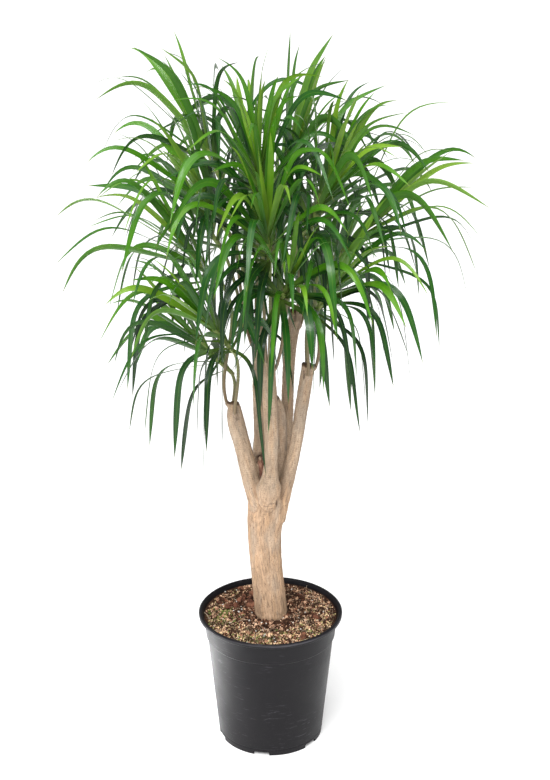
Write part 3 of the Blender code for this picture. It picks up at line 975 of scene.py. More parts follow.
def moulded_plastic(settings):
    """Charcoal nursery plastic: fine grain, cloudy sheen, dust low down, faint rubbed streaks and a painted
    highlight along the lip's outer edge.
    """
    look = Look("nursery_plastic")
    cloud = look.noise(11, 4)
    rubbed = look.ramp(look.noise(38, 5, 0.6, 7), (0.58, 0), (0.68, 1))
    scuffs = look.times(rubbed, look.ramp(look.noise(16, 2), (0.44, 0), (0.58, 1)))
    base = look.mix(cloud, tinted(settings.colour, 0.70), settings.colour)
    base = look.coat(base, scuffs, 0.55, (0.060, 0.056, 0.066))
    height = look.of("SeparateXYZ", {"Vector": look.place}, "Z")
    dust = look.ramp(look.noise(420, 4, 0.7), (0.60, 0), (0.72, 1))
    base = look.coat(base, dust, look.between(height, 0.0, 0.09, 0.16, 0.03), (0.24, 0.21, 0.18))
    flat = look.of("VectorMath", {0: look.place, 1: (1, 1, 0)}, operation="MULTIPLY")
    radius = look.of("VectorMath", {0: flat}, "Value", operation="LENGTH")
    flared = COLLAR_RADIUS + COLLAR_FLARE
    wall = look.between(height, COLLAR_HEIGHT, POT_HEIGHT - LIP_DEPTH, COLLAR_RADIUS, flared)
    inner = look.between(look.maths("SUBTRACT", wall, radius), *DIRT_DEPTHS)
    spatter = look.between(look.noise(120, 5, 0.7), 0.35, 0.62, 0.15, 0.75)
    soiled = look.times(look.times(inner, spatter), look.between(height, *DIRT_HEIGHTS))
    base = look.mix(soiled, base, (0.200, 0.120, 0.082))
    # Painted highlight: a paler grey along the lip's outer edge stands in for the lamps' reflection there.
    lip = look.times(look.between(radius, *LIP_HIGHLIGHT_RADII), look.between(height, *LIP_HIGHLIGHT_HEIGHTS))
    base = look.coat(base, lip, look.between(cloud, 0.35, 0.6, 0.2, 0.7), (0.090, 0.086, 0.098))
    rough = look.between(cloud, 0.3, 0.7, settings.roughness - 0.08, settings.roughness + 0.06)
    bumps = ((look.noise(1400, 2), 0.22, 0.0003), (cloud, 0.10, 0.002), (scuffs, 0.15, 0.0003))
    return look.finish(bumps, Base_Color=base, Roughness=rough, Specular_IOR_Level=0.22)


def wet_earth():
    """Dark fibrous planting mix between the grains that lie on it."""
    look = Look("planting_mix")
    clumps = look.noise(180, 6, 0.7)
    tones = (0.30, (0.010, 0.006, 0.004)), (0.52, (0.045, 0.022, 0.013)), (0.72, (0.13, 0.068, 0.038))
    bumps = ((clumps, 0.8, 0.003), (look.noise(900, 4, 0.7), 0.6, 0.001))
    return look.finish(bumps, Base_Color=look.ramp(clumps, *tones), Roughness=0.92, Specular_IOR_Level=0.10)


def loose_grains(name, colours, roughness, stretch=1, depth=0.5, scale=600, clumping=0.85):
    """Loose bits whose colour goes from the first to the last by their tone, with a rough surface."""
    look = Look(name)
    rough = look.noise(scale, 4, 0.65, stretch)
    last = len(colours) - 1
    base = look.ramp(look.attribute("tone"), *((i / last, colour) for i, colour in enumerate(colours)))
    base = look.mix(0.8, base, look.ramp(rough, (0.30, 0.35), (0.70, 1.15)), "MULTIPLY")
    damp = look.ramp(look.noise(62, 4, 0.65), (0.42, 0.18), (0.56, 1.75))
    base = look.mix(clumping, base, damp, "MULTIPLY")
    bumps = ((rough, depth, 0.001),)
    return look.finish(bumps, Base_Color=base, Roughness=roughness, Specular_IOR_Level=0.12)


def dracaena_bark(settings):
    """Tan finely fissured trunk, greyer ringed canes, dark ragged cuts, raw red-brown splinters and painted
    shade in the bark's dents.
    """
    look = Look("dracaena_bark")
    look.place = look.attribute("grain", "Vector")
    cane = look.attribute("cane")
    streaks = look.noise(330, 6, 0.60, 0.16)
    bands = look.noise(70, 4, 0.55, 0.22)
    fine = look.noise(1300, 4, 0.7, 0.5)
    height = look.of("SeparateXYZ", {"Vector": look.place}, "Z")
    wobble = look.times(look.noise(45, 3), 0.012)
    ringed = look.maths("SINE", look.times(look.maths("ADD", height, wobble), 1700))
    rings = look.times(look.times(look.between(ringed, 0.3, 1.0), cane), look.between(fine, 0.35, 0.65))
    old = settings.trunk_colour
    young = settings.cane_colour
    old_tones = (0.30, tinted(old, 0.42)), (0.44, tinted(old, 0.86)), (0.60, tinted(old, 1.16))
    young_tones = (0.25, tinted(young, 0.52)), (0.50, young), (0.70, tinted(young, 1.22))
    base = look.mix(cane, look.ramp(streaks, *old_tones), look.ramp(streaks, *young_tones))
    base = look.mix(0.60, base, look.ramp(bands, (0.32, 0.58), (0.60, 1.12)), "MULTIPLY")
    patches = look.ramp(look.noise(30, 4, stretch=0.5), (0.30, 0.66), (0.62, 1.12))
    base = look.mix(0.45, base, patches, "MULTIPLY")
    ashy = look.ramp(look.noise(34, 4, stretch=0.35), (0.50, 0), (0.64, 1))
    ochre = look.ramp(look.noise(120, 4, stretch=0.12), (0.52, 0), (0.66, 1))
    flakes = look.ramp(look.noise(210, 3, stretch=0.3), (0.60, 0), (0.68, 1))
    pits = look.ramp(look.noise(560, 3, 0.6, 0.6), (0.35, 1), (0.41, 0))
    base = look.coat(base, ashy, 0.45, (0.400, 0.330, 0.262))
    base = look.coat(base, ochre, 0.35, (0.560, 0.345, 0.190))
    base = look.coat(base, flakes, 0.30, (0.66, 0.52, 0.39))
    base = look.coat(base, rings, 0.50, (0.20, 0.135, 0.092))
    base = look.coat(base, pits, 0.72, (0.12, 0.065, 0.040))
    # Painted shade: the bark is darkened where it is dented, in cracks, scars and the hollow left of the
    # stub.
    base = look.mix(look.attribute("crease"), base, (0.055, 0.032, 0.021))
    woody = (0.35, (0.040, 0.022, 0.014)), (0.58, (0.15, 0.090, 0.054)), (0.75, (0.30, 0.21, 0.13))
    base = look.mix(look.attribute("cut"), base, look.ramp(fine, *woody))
    splinter = look.ramp(streaks, (0.35, (0.085, 0.030, 0.020)), (0.62, (0.42, 0.22, 0.15)))
    base = look.mix(look.attribute("raw"), base, splinter)
    bumps = ((streaks, 0.75, 0.0018), (bands, 0.50, 0.0030), (fine, 0.50, 0.0007), (rings, 0.50, 0.0006))
    return look.finish(bumps, Base_Color=base, Roughness=0.86, Specular_IOR_Level=0.22)


def green_stem():
    """Stem skin: brown and corky low down, light green near the head, ringed with leaf scars."""
    look = Look("stem_skin")
    mottle = look.noise(260, 4)
    ripeness = look.maths("ADD", look.attribute("along"), look.between(mottle, 0.3, 0.7, -0.12, 0.12))
    tones = (0.10, (0.190, 0.130, 0.070)), (0.45, (0.120, 0.135, 0.045)), (0.80, (0.240, 0.330, 0.080))
    skin = look.coat(look.ramp(ripeness, *tones), look.attribute("scar"), 0.65, (0.200, 0.150, 0.085))
    return look.finish(((mottle, 0.3, 0.0006),), Base_Color=skin, Roughness=0.55)


def leaf_blade(settings):
    """Glossy leaf: yellow-green when young, deep green when old and darker still as painted shade, pale at
    the root, with fine veins.
    """
    look = Look("leaf_blade")
    along = look.attribute("along")
    across = look.attribute("across")
    under = look.attribute("under")
    blotch = look.noise(24, 3)
    veins = look.maths("SINE", look.times(across, 56))
    shift = look.between(look.attribute("tone"), 0, 1, -0.26, 0.26)
    mottled = look.maths("ADD", shift, look.between(blotch, 0.3, 0.7, -0.08, 0.08))
    # The deep and old stops are darker than the leaves' own green: painted shade for the inside of the crown,
    # where the older leaves hang.
    base = look.ramp(
        look.maths("ADD", look.attribute("age"), mottled),
        (0.00, settings.young_colour),
        (0.28, settings.green_colour),
        (0.58, settings.deep_shaded_colour),
        (0.90, settings.old_shaded_colour),
    )
    base = look.coat(base, look.ramp(along, (0.02, 1), (0.26, 0)), 0.70, settings.root_colour)
    rib = look.ramp(look.maths("ABSOLUTE", across), (0.03, 1), (0.13, 0))
    base = look.coat(base, rib, 0.20, settings.young_colour)
    base = look.mix(look.between(veins, 0.2, 1.0, 0, 0.14), base, (0.008, 0.030, 0.004))
    base = look.mix(under, base, look.mix(0.45, base, settings.under_colour))
    base = look.coat(base, look.ramp(along, (0.96, 0), (0.995, 1)), 0.7, (0.22, 0.20, 0.05))
    rough = look.mix(under, (settings.gloss,) * 3, (settings.gloss + 0.18,) * 3)
    bumps = ((veins, 0.18, 0.0002), (blotch, 0.10, 0.002))
    return look.finish(bumps, Base_Color=base, Roughness=rough, Specular_IOR_Level=0.32)


def studio_floor(settings):
    """Matt white floor with the faintest mottle and a faint glow that keeps shadows pale."""
    look = Look("studio_floor")
    base = look.mix(look.noise(3, 3), tinted(settings.floor_colour, 0.985), settings.floor_colour)
    return look.finish((), Base_Color=base, Roughness=0.9, Specular_IOR_Level=0.1, Emission_Strength=0.1)


# Pot


def wall_radius(height, collar):
    """The pot's outer radius at a height, on the collar band or on the wall below it."""
    if collar:
        share = (height - COLLAR_HEIGHT) / (POT_HEIGHT - LIP_DEPTH - COLLAR_HEIGHT)
        return COLLAR_RADIUS + COLLAR_FLARE * share
    return FOOT_RADIUS + (WALL_TOP_RADIUS - FOOT_RADIUS) * height / COLLAR_HEIGHT


def flare_rows():
    """Where the inner wall starts to open towards the lip, and where it ends: radius and height."""
    start = POT_HEIGHT - 0.015
    return (
        (wall_radius(start, True) - WALL_THICKNESS - WALL_DRAFT, start),
        (RIM_RADIUS - 0.0085, POT_HEIGHT - 0.004),
    )


def pot_outline():
    """Half of the pot's section, from the middle of its floor over the lip and down to its foot."""
    inside = WALL_THICKNESS + WALL_DRAFT
    flare_start, flare_end = flare_rows()
    floor_top = FLOOR_RISE + WALL_THICKNESS
    line_low = FOOT_LINE_HEIGHT - FOOT_LINE_HALF
    line_high = FOOT_LINE_HEIGHT + FOOT_LINE_HALF
    return (
        (0, WALL_THICKNESS, 0),
        (DISH_RADIUS - 0.002, WALL_THICKNESS, 0.003),
        (DISH_RADIUS + 0.005, floor_top, 0.003),
        (wall_radius(floor_top, False) - inside, floor_top, 0.003),
        (wall_radius(COLLAR_HEIGHT, False) - inside, COLLAR_HEIGHT - 0.001, 0.002),
        (*flare_start, 0.004),
        (*flare_end, 0.003),
        (RIM_RADIUS - 0.0060, POT_HEIGHT, 0.0016),
        (RIM_RADIUS - 0.0022, POT_HEIGHT, 0.0008),
        (RIM_RADIUS - 0.0016, POT_HEIGHT - 0.0016, 0.0004),
        (RIM_RADIUS, POT_HEIGHT - 0.0022, 0.0010),
        (RIM_RADIUS - 0.0006, POT_HEIGHT - 0.0078, 0.0014),
        (wall_radius(POT_HEIGHT - LIP_DEPTH, True), POT_HEIGHT - LIP_DEPTH, 0.0030),
        (wall_radius(COLLAR_HEIGHT + 0.002, True), COLLAR_HEIGHT + 0.002, 0.0012),
        (wall_radius(COLLAR_HEIGHT, False), COLLAR_HEIGHT - 0.0005, 0.0012),
        (wall_radius(line_high, False), line_high, 0.0005),
        (wall_radius(FOOT_LINE_HEIGHT, False) - FOOT_LINE_DEPTH, FOOT_LINE_HEIGHT, 0.0004),
        (wall_radius(line_low, False), line_low, 0.0005),
        (FOOT_RADIUS, 0, 0.0007),
        (FOOT_RADIUS - 0.0028, 0, 0.0007),
        (FOOT_RADIUS - 0.0028, FLOOR_RISE, 0.0010),
        (DISH_RADIUS + 0.006, FLOOR_RISE, 0.0020),
        (DISH_RADIUS, 0, 0.0010),
        (0, 0, 0),
    )


def pot_cutters():
    """The foot's notches and the drain holes."""
    cutters = helper_collection("pot_cutters")
    for i in range(NOTCH_COUNT):
        turn = math.radians(FIRST_NOTCH + i * 360 / NOTCH_COUNT)
        foot = flat_way(turn) * FOOT_RADIUS
        bpy.ops.mesh.primitive_cube_add(size=1, location=foot, rotation=(0, 0, turn))
        notch = bpy.context.object
        notch.scale = (0.012, NOTCH_WIDTH, 2 * NOTCH_HEIGHT)
        bpy.ops.object.transform_apply(location=False, rotation=False, scale=True)
        rounding = notch.modifiers.new("Round", "BEVEL")
        rounding.width = 0.0022
        rounding.segments = 4
        drain = flat_way(turn + math.pi / NOTCH_COUNT) * DRAIN_CIRCLE + UP * FLOOR_RISE
        bpy.ops.mesh.primitive_cylinder_add(vertices=32, radius=DRAIN_RADIUS, depth=0.030, location=drain)
        for obj in (notch, bpy.context.object):
            bpy.context.scene.collection.objects.unlink(obj)
            cutters.objects.link(obj)
    return cutters


def make_pot(settings):
    pot = turned("nursery_pot", fillet(pot_outline(), 5), settings.steps)
    pot = cut_away(pot, pot_cutters())
    finish_piece(pot, 32, moulded_plastic(settings), "pot_plastic", "pot")


# Soil


def lump(x, y):
    """How far the soil's surface stands above or below its level."""
    wave = math.sin(61 * x + 1.3) * math.cos(53 * y - 0.4)
    ripple = math.sin(149 * x - 97 * y) * 0.5
    mound = 1.2 * math.exp(-((x * x + y * y) / 0.0030))
    hollow = 2.2 * math.exp(-((math.hypot(x - HOLLOW_X, y - HOLLOW_Y) / HOLLOW_REACH) ** 2))
    return SOIL_LUMP * (wave + ripple + mound - hollow)


def soil_height(x, y, edge_radius):
    """The soil's surface with its clods, which die out at the wall."""
    calm = unit((edge_radius - math.hypot(x, y)) / 0.012)
    clods = 0.0022 * noise.noise(Vector((x, y, 0.3)) * 95)
    crumbs = 0.0011 * noise.noise(Vector((x, y, 1.7)) * 260)
    return SOIL_LEVEL + (lump(x, y) + clods + crumbs) * calm


def soil_radius():
    (low_radius, low), (high_radius, high) = flare_rows()
    slant = (SOIL_LEVEL - low) / (high - low)
    return low_radius + (high_radius - low_radius) * slant - 1.3 * CLEARANCE


def soil_outline():
    """The soil's section below its surface, from the wall down to the middle of the pot's floor."""
    floor_top = FLOOR_RISE + WALL_THICKNESS + CLEARANCE
    inside = WALL_THICKNESS + WALL_DRAFT + CLEARANCE
    low_radius, low = flare_rows()[0]
    return (
        (soil_radius(), SOIL_LEVEL),
        (low_radius - CLEARANCE, low),
        (wall_radius(COLLAR_HEIGHT, False) - inside, COLLAR_HEIGHT - 0.001),
        (wall_radius(floor_top, False) - inside, floor_top),
        (DISH_RADIUS + 0.005 - CLEARANCE, floor_top),
        (DISH_RADIUS - 0.002 - CLEARANCE, WALL_THICKNESS + CLEARANCE),
        (0, WALL_THICKNESS + CLEARANCE),
    )


def make_soil(settings):
    edge = soil_radius()
    outline = [(edge * i / settings.rings, SOIL_LEVEL) for i in range(settings.rings)]
    outline += list(soil_outline())
    soil = turned("planting_soil", outline, settings.steps)
    for vertex in soil.data.vertices:
        x, y, z = vertex.co
        if z > SOIL_LEVEL - 1e-5:
            vertex.co.z = soil_height(x, y, edge)
    hole = helper_collection("trunk_hole")
    rows = [Vector(row) for row in TRUNK]
    rows[0].z -= CLEARANCE
    core = limb_object("trunk_hole", smooth_rows(rows, 0.02), 32, CLEARANCE)
    bpy.context.scene.collection.objects.unlink(core)
    hole.objects.link(core)
    finish_piece(cut_away(soil, hole), 60, wet_earth(), "soil", "soil")


def patch(x, y, centre, reach):
    """How much of a soft patch there is at x, y: 1 at its centre."""
    return math.exp(-(((x - centre[0]) / reach[0]) ** 2 + ((y - centre[1]) / reach[1]) ** 2))


def lie_of(x, y, edge):
    """How freely each kind of thing lies at a point of the soil."""
    radius = math.hypot(x, y)
    clear = 1.0 if math.hypot(x - 0.001, y) > BARE_RADIUS and radius < edge - 0.003 else 0.0
    cloud = 0.5 + 0.5 * noise.noise(Vector((x, y, 4.0)) * 38)
    fine = 0.5 + 0.5 * noise.noise(Vector((x, y, 9.0)) * 90)
    front = unit((-y - 0.005) / 0.06)
    left = unit((-x - 0.02) / 0.05)
    right = unit((x - 0.02) / 0.05)
    behind_left = patch(x, y, (-0.055, 0.040), (0.038, 0.036))
    rim = unit((radius - 0.055) / 0.04)
    dry = rim * (0.15 + front + 0.6 * right + 0.5 * left) * (1 - 0.8 * behind_left)
    green = max(
        patch(x, y, (-0.095, -0.012), (0.022, 0.030)),
        patch(x, y, (-0.035, -0.100), (0.045, 0.016)),
        0.5 * patch(x, y, (0.060, -0.080), (0.040, 0.018)),
    )
    return {
        "open": clear,
        "sparse": clear * (0.3 + 0.7 * cloud),
        "chips": clear * (radius < edge - 0.012) * (behind_left + 0.10 * right * cloud),
        "tan": clear * min(1.0, dry * cloud * 1.6),
        "moss": clear * green * (0.25 + fine),
    }


def soil_bed(name):
    """The soil's surface alone, with a mask for each kind of thing that lies on it."""
    edge = soil_radius()
    step = 2 * edge / BED_CELLS
    points = []
    index = {}
    for i in range(BED_CELLS + 1):
        for j in range(BED_CELLS + 1):
            x = -edge + i * step
            y = -edge + j * step
            if math.hypot(x, y) < edge - 0.0015:
                index[i, j] = len(points)
                points.append((x, y, soil_height(x, y, edge)))
    faces = []
    for i, j in index:
        corners = [(i, j), (i + 1, j), (i + 1, j + 1), (i, j + 1)]
        if all(corner in index for corner in corners):
            faces.append([index[corner] for corner in corners])
    mesh = mesh_from(name, points, faces=faces)
    masks = [lie_of(x, y, edge) for x, y, _ in points]
    for label in masks[0]:
        store(mesh, label, "FLOAT", [mask[label] for mask in masks])
    return add_object(name, mesh)


def clod(name, draw, corners, stretch):
    """A crumb: the hull of a few points about a stretched ball of radius 1."""
    work = bmesh.new()
    for _ in range(corners):
        way = Vector((draw.gauss(0, 1), draw.gauss(0, 1), draw.gauss(0, 1))).normalized()
        point = way * draw.uniform(0.70, 1.10)
        work.verts.new((point.x * stretch[0], point.y * stretch[1], point.z * stretch[2]))
    hull = bmesh.ops.convex_hull(work, input=work.verts)
    loose = [item for item in hull["geom_interior"] if isinstance(item, bmesh.types.BMVert)]
    bmesh.ops.delete(work, geom=loose, context="VERTS")
    bmesh.ops.recalc_face_normals(work, faces=work.faces)
    mesh = bpy.data.meshes.new(name)
    work.to_mesh(mesh)
    work.free()
    return bpy.data.objects.new(name, mesh)


def fibre(name, draw, length, thickness):
    """A fine root or husk fibre, curled and lying nearly flat."""
    steps = 9
    place = Vector((0, 0, 0))
    heading = draw.uniform(0, FULL_TURN)
    curl = draw.uniform(-2.6, 2.6)
    points = []
    for i in range(steps + 1):
        points.append(place.copy())
        heading += (curl + draw.uniform(-1.5, 1.5)) / steps
        slope = 0.9 * math.sin(math.pi * i / steps) * (0.5 - i / steps)
        way = Vector((math.cos(heading), math.sin(heading), slope)).normalized()
        place = place + way * length / steps
    points = [point - points[steps // 2] * Vector((1, 1, 0)) for point in points]
    return tube_object(name, points, [thickness] * (steps + 1), 5, linked=False)


def tuft(name, draw):
    """A tuft of moss: short spikes that lean outwards."""
    points = []
    faces = []
    for i in range(8):
        turn = i * GOLDEN_ANGLE + draw.uniform(-0.4, 0.4)
        out = flat_way(turn)
        side = Vector((-out.y, out.x, 0))
        root = out * draw.uniform(0.05, 0.45)
        tip = root + out * draw.uniform(0.25, 0.80) + UP * draw.uniform(0.6, 1.3)
        first = len(points)
        points += [root + side * 0.16, root - side * 0.16, root + out * 0.22 - UP * 0.1, tip]
        faces += [(first, first + 1, first + 2), (first, first + 3, first + 1)]
        faces += [(first + 1, first + 3, first + 2), (first + 2, first + 3, first)]
    mesh = mesh_from(name, points, faces=faces)
    turn_faces_out(mesh)
    return bpy.data.objects.new(name, mesh)


def strew(name, tree, grains, material, mask, spacing, density, sizes, tilt, rise, seed):
    """One kind of loose thing on the soil, as one piece."""
    collection = helper_collection(name + "_grains")
    for grain in grains:
        collection.objects.link(grain)
    values = {
        "Grains": collection,
        "Mask": mask,
        "Spacing": spacing,
        "Density": density,
        "Smallest": sizes[0],
        "Largest": sizes[1],
        "Tilt": tilt,
        "Rise": rise,
        "Seed": seed,
        "Finish": material,
    }
    piece = run_tree(soil_bed(name), tree, values)
    drop_collection(collection)
    keep_inside(piece.data)
    wear(piece, material)
    hand_over(piece, "soil", "soil")


def make_litter(settings):
    tree = scatter_tree()
    draw = random.Random(SEED)
    dark = (0.018, 0.007, 0.005), (0.095, 0.038, 0.023), (0.290, 0.145, 0.085), (0.640, 0.420, 0.280)
    pale = (0.30, 0.150, 0.082), (0.64, 0.39, 0.23), (0.86, 0.62, 0.42), (0.38, 0.33, 0.13)
    cream = (0.56, 0.47, 0.38), (0.78, 0.72, 0.64), (0.90, 0.88, 0.83)
    rust = (0.046, 0.019, 0.012), (0.125, 0.050, 0.031), (0.260, 0.118, 0.070)
    leafy = (0.060, 0.120, 0.020), (0.17, 0.29, 0.050), (0.36, 0.46, 0.13)
    browns = loose_grains("soil_crumbs", dark, 0.9)
    tans = loose_grains("husk_granules", pale, 0.85)
    white = loose_grains("perlite", cream, 0.8, depth=0.3, clumping=0.2)
    reds = loose_grains("pine_bark", rust, 0.85, stretch=4, depth=0.8, scale=300)
    straw = loose_grains("husk_fibre", ((0.30, 0.19, 0.11), (0.62, 0.50, 0.37)), 0.7, clumping=0.4)
    green = loose_grains("moss", leafy, 0.8, clumping=0.3)
    crumbs = settings.crumbs
    chips = settings.chips
    # How many shapes each kind of clod has, their corners and their stretch
    shapes = {
        "soil_crumbs_fine": (5, 12, (1, 0.85, 0.65)),
        "soil_clods": (4, 16, (1, 0.8, 0.6)),
        "husk_granules": (4, 12, (1, 0.7, 0.6)),
        "perlite": (4, 16, (1, 0.9, 0.8)),
        "bark_chips": (6, 20, (1, 0.62, 0.34)),
        "bark_flakes": (5, 14, (1, 0.5, 0.18)),
    }
    # The finish, mask, spacing, density, sizes, tilt and rise of each
    lays = (
        (browns, "open", 0.0, crumbs, (0.0009, 0.0026), 3.0, 0.0005),
        (browns, "sparse", 0.003, crumbs * 0.12, (0.0022, 0.0052), 3.0, 0.0008),
        (tans, "tan", 0.0, crumbs * 0.95, (0.0008, 0.0025), 3.0, 0.0012),
        (white, "sparse", 0.003, settings.perlite, (0.0006, 0.0024), 3.0, 0.0013),
        (reds, "chips", 0.009, chips, (0.0080, 0.0160), 0.60, 0.0042),
        (reds, "sparse", 0.006, chips * 2.2, (0.0022, 0.0055), 0.7, 0.0012),
    )
    for seed, (name, lay) in enumerate(zip(shapes, lays), 1):
        count, corners, stretch = shapes[name]
        grains = [clod(f"{name}_{i}", draw, corners, stretch) for i in range(count)]
        strew(name, tree, grains, *lay, seed)
    threads = [fibre(f"thread_{i}", draw, 0.020, 0.00042) for i in range(6)]
    strew("husk_fibres", tree, threads, straw, "sparse", 0.004, settings.fibres, (0.4, 1.15), 0.25, 0.0016, 7)
    tufts = [tuft(f"tuft_{i}", draw) for i in range(4)]
    strew("moss", tree, tufts, green, "moss", 0.0012, settings.moss, (0.0012, 0.0030), 0.35, 0.0006, 8)


# Trunk


def tube_mesh(name, points, radii, sides):
    """A closed round tube through points, with a radius at each."""
    verts = []
    faces = [tuple(reversed(range(sides)))]
    for place, way, radius in zip(points, ways_along(points), radii):
        side = way.cross(ACROSS)
        if side.length < 0.1:
            side = way.cross(Vector((1, 0, 0)))
        side.normalize()
        verts += ring_round(place, side, way.cross(side), radius, sides)
    for ring in range(len(points) - 1):
        for i in range(sides):
            a = ring * sides + i
            b = ring * sides + (i + 1) % sides
            faces.append((a, b, b + sides, a + sides))
    last = (len(points) - 1) * sides
    faces.append(tuple(range(last, last + sides)))
    return mesh_from(name, verts, faces=faces)


def tube_object(name, points, radii, sides, linked=True):
    mesh = tube_mesh(name, points, radii, sides)
    obj = add_object(name, mesh) if linked else bpy.data.objects.new(name, mesh)
    face_outwards(obj)
    return obj


def limb_object(name, rows, sides, wider=0.0):
    return tube_object(name, places_in(rows), [row[3] + wider for row in rows], sides)


def bud_collars(routes):
    """The swelling of bark where each stem leaves its cane: rows of centres and radii."""
    collars = []
    for route, _ in routes:
        inner, mouth = route[:2]
        lip = mouth + (mouth - inner).normalized() * 0.003
        spots = ((inner, 1.3), (inner.lerp(mouth, 0.72), 1.9), (mouth, 1.45), (lip, 1.05))
        collars.append(rows_of(*((point, STEM_RADIUS * wider) for point, wider in spots)))
    return collars


def nearest_limb(points, limbs):
    """For each point: the limb that it lies on, its distance along and its place across that limb."""
    best = np.full(len(points), 1e9)
    which = np.zeros(len(points), int)
    local = np.zeros((len(points), 3))
    share = np.zeros(len(points))
    for number, rows in enumerate(limbs):
        rows = smooth_rows(rows, 0.004)
        centres = np.array([row[:3] for row in rows])
        radii = np.array([row[3] for row in rows])
        ways = np.gradient(centres, axis=0)
        lengths = np.linalg.norm(np.diff(centres, axis=0), axis=1)
        along = np.concatenate([[0], np.cumsum(lengths)])
        ways /= np.linalg.norm(ways, axis=1)[:, None]
        sides = np.cross(ways, (0, 1, 0))
        sides /= np.linalg.norm(sides, axis=1)[:, None]
        others = np.cross(ways, sides)
        gaps = ((points[:, None, :] - centres[None, :, :]) ** 2).sum(axis=2)
        at = gaps.argmin(axis=1)
        offset = points - centres[at]
        beyond = (offset * ways[at]).sum(axis=1)
        u = (offset * sides[at]).sum(axis=1)
        v = (offset * others[at]).sum(axis=1)
        depth = np.hypot(u, v) / radii[at]
        over = np.maximum(0, beyond - 0.006) + np.maximum(0, -beyond - 0.006)
        score = np.abs(depth - 1) + over * 60
        better = score < best
        best[better] = score[better]
        which[better] = number
        local[better] = np.stack([u, v, along[at] + beyond + number * 0.731], axis=1)[better]
        share[better] = (along[-1] - along[at] - beyond)[better]
    return which, local, share


def fissures(local, cane):
    """How far the bark stands proud: broad swells, upright cracks and the canes' faint rings."""
    x, y, z = local
    swell = noise.noise(Vector((x * 26, y * 26, z * 10)))
    crack = abs(noise.noise(Vector((x * 210, y * 210, z * 26))))
    ripple = noise.noise(Vector((x * 120, y * 120, z * 70)))
    ring = math.sin(z * 700 + 2.5 * swell)
    depth = 0.0012 * swell - 0.0012 * (1 - min(1.0, crack * 5)) * (1 - 0.6 * cane) + 0.0005 * ripple
    return depth + 0.00016 * ring * cane


def cut_knobs(draw):
    """Lumps and splinters of wood round each cane's cut end, so that no cut is a clean disc."""
    knobs = []
    for rows in CANES.values():
        top = Vector(rows[-1][:3])
        radius = rows[-1][3]
        way = (top - Vector(rows[-2][:3])).normalized()
        side = side_of(way)
        other = way.cross(side)
        for i in range(9):
            turn = i * FULL_TURN / 9 + draw.uniform(-0.25, 0.25)
            rim = top + swung(side, other, turn) * radius * draw.uniform(0.62, 0.86)
            thick = radius * draw.uniform(0.15, 0.30)
            rise = draw.uniform(-0.0030, 0.0012)
            foot = (rim - way * 0.006, thick * 1.2)
            tip = (rim + way * (rise + 0.0012), thick * 0.5)
            knobs.append(rows_of(foot, (rim + way * rise, thick), tip))
    spike_foot = Vector((-0.0725, -0.022, 0.686))
    spike_tip = Vector((-0.0810, -0.022, 0.712))
    halfway = spike_foot.lerp(spike_tip, 0.5)
    knobs.append(rows_of((spike_foot, 0.0050), (halfway, 0.0030), (spike_tip, 0.0012)))
    stub = Vector(CANES["stub"][-1][:3])
    for i in range(6):
        turn = i * FULL_TURN / 6
        foot = stub + Vector((math.cos(turn) * 0.0035, math.sin(turn) * 0.0035, -0.014))
        tip = foot + Vector((draw.uniform(-0.002, 0.002), 0, draw.uniform(0.016, 0.030)))
        knobs.append(rows_of((foot, 0.0034), (foot.lerp(tip, 0.6), 0.0024), (tip, 0.0012)))
    return knobs


def make_trunk(settings):
    limbs = [TRUNK] + list(CANES.values())
    body = [limb_object(f"limb_{i}", smooth_rows(rows, 0.006), 36) for i, rows in enumerate(limbs)]
    body += [limb_object(f"collar_{i}", rows, 14) for i, rows in enumerate(bud_collars(all_routes()))]
    body += [limb_object(f"knob_{i}", rows, 9) for i, rows in enumerate(cut_knobs(random.Random(SEED)))]
    work = bmesh.new()
    for obj in body:
        work.from_mesh(obj.data)
        bpy.data.objects.remove(obj, do_unlink=True)
    mesh = bpy.data.meshes.new("dracaena_trunk")
    work.to_mesh(mesh)
    work.free()
    trunk = add_object("dracaena_trunk", mesh)
    voxels = trunk.modifiers.new("Grow Together", "REMESH")
    voxels.mode = "VOXEL"
    voxels.voxel_size = settings.voxel
    soften = trunk.modifiers.new("Soften", "SMOOTH")
    soften.factor = 0.5
    soften.iterations = 4
    trunk = plain(trunk)
    carve_bark(trunk.data, limbs)
    finish_piece(trunk, 180, dracaena_bark(settings), "bark", "trunk")


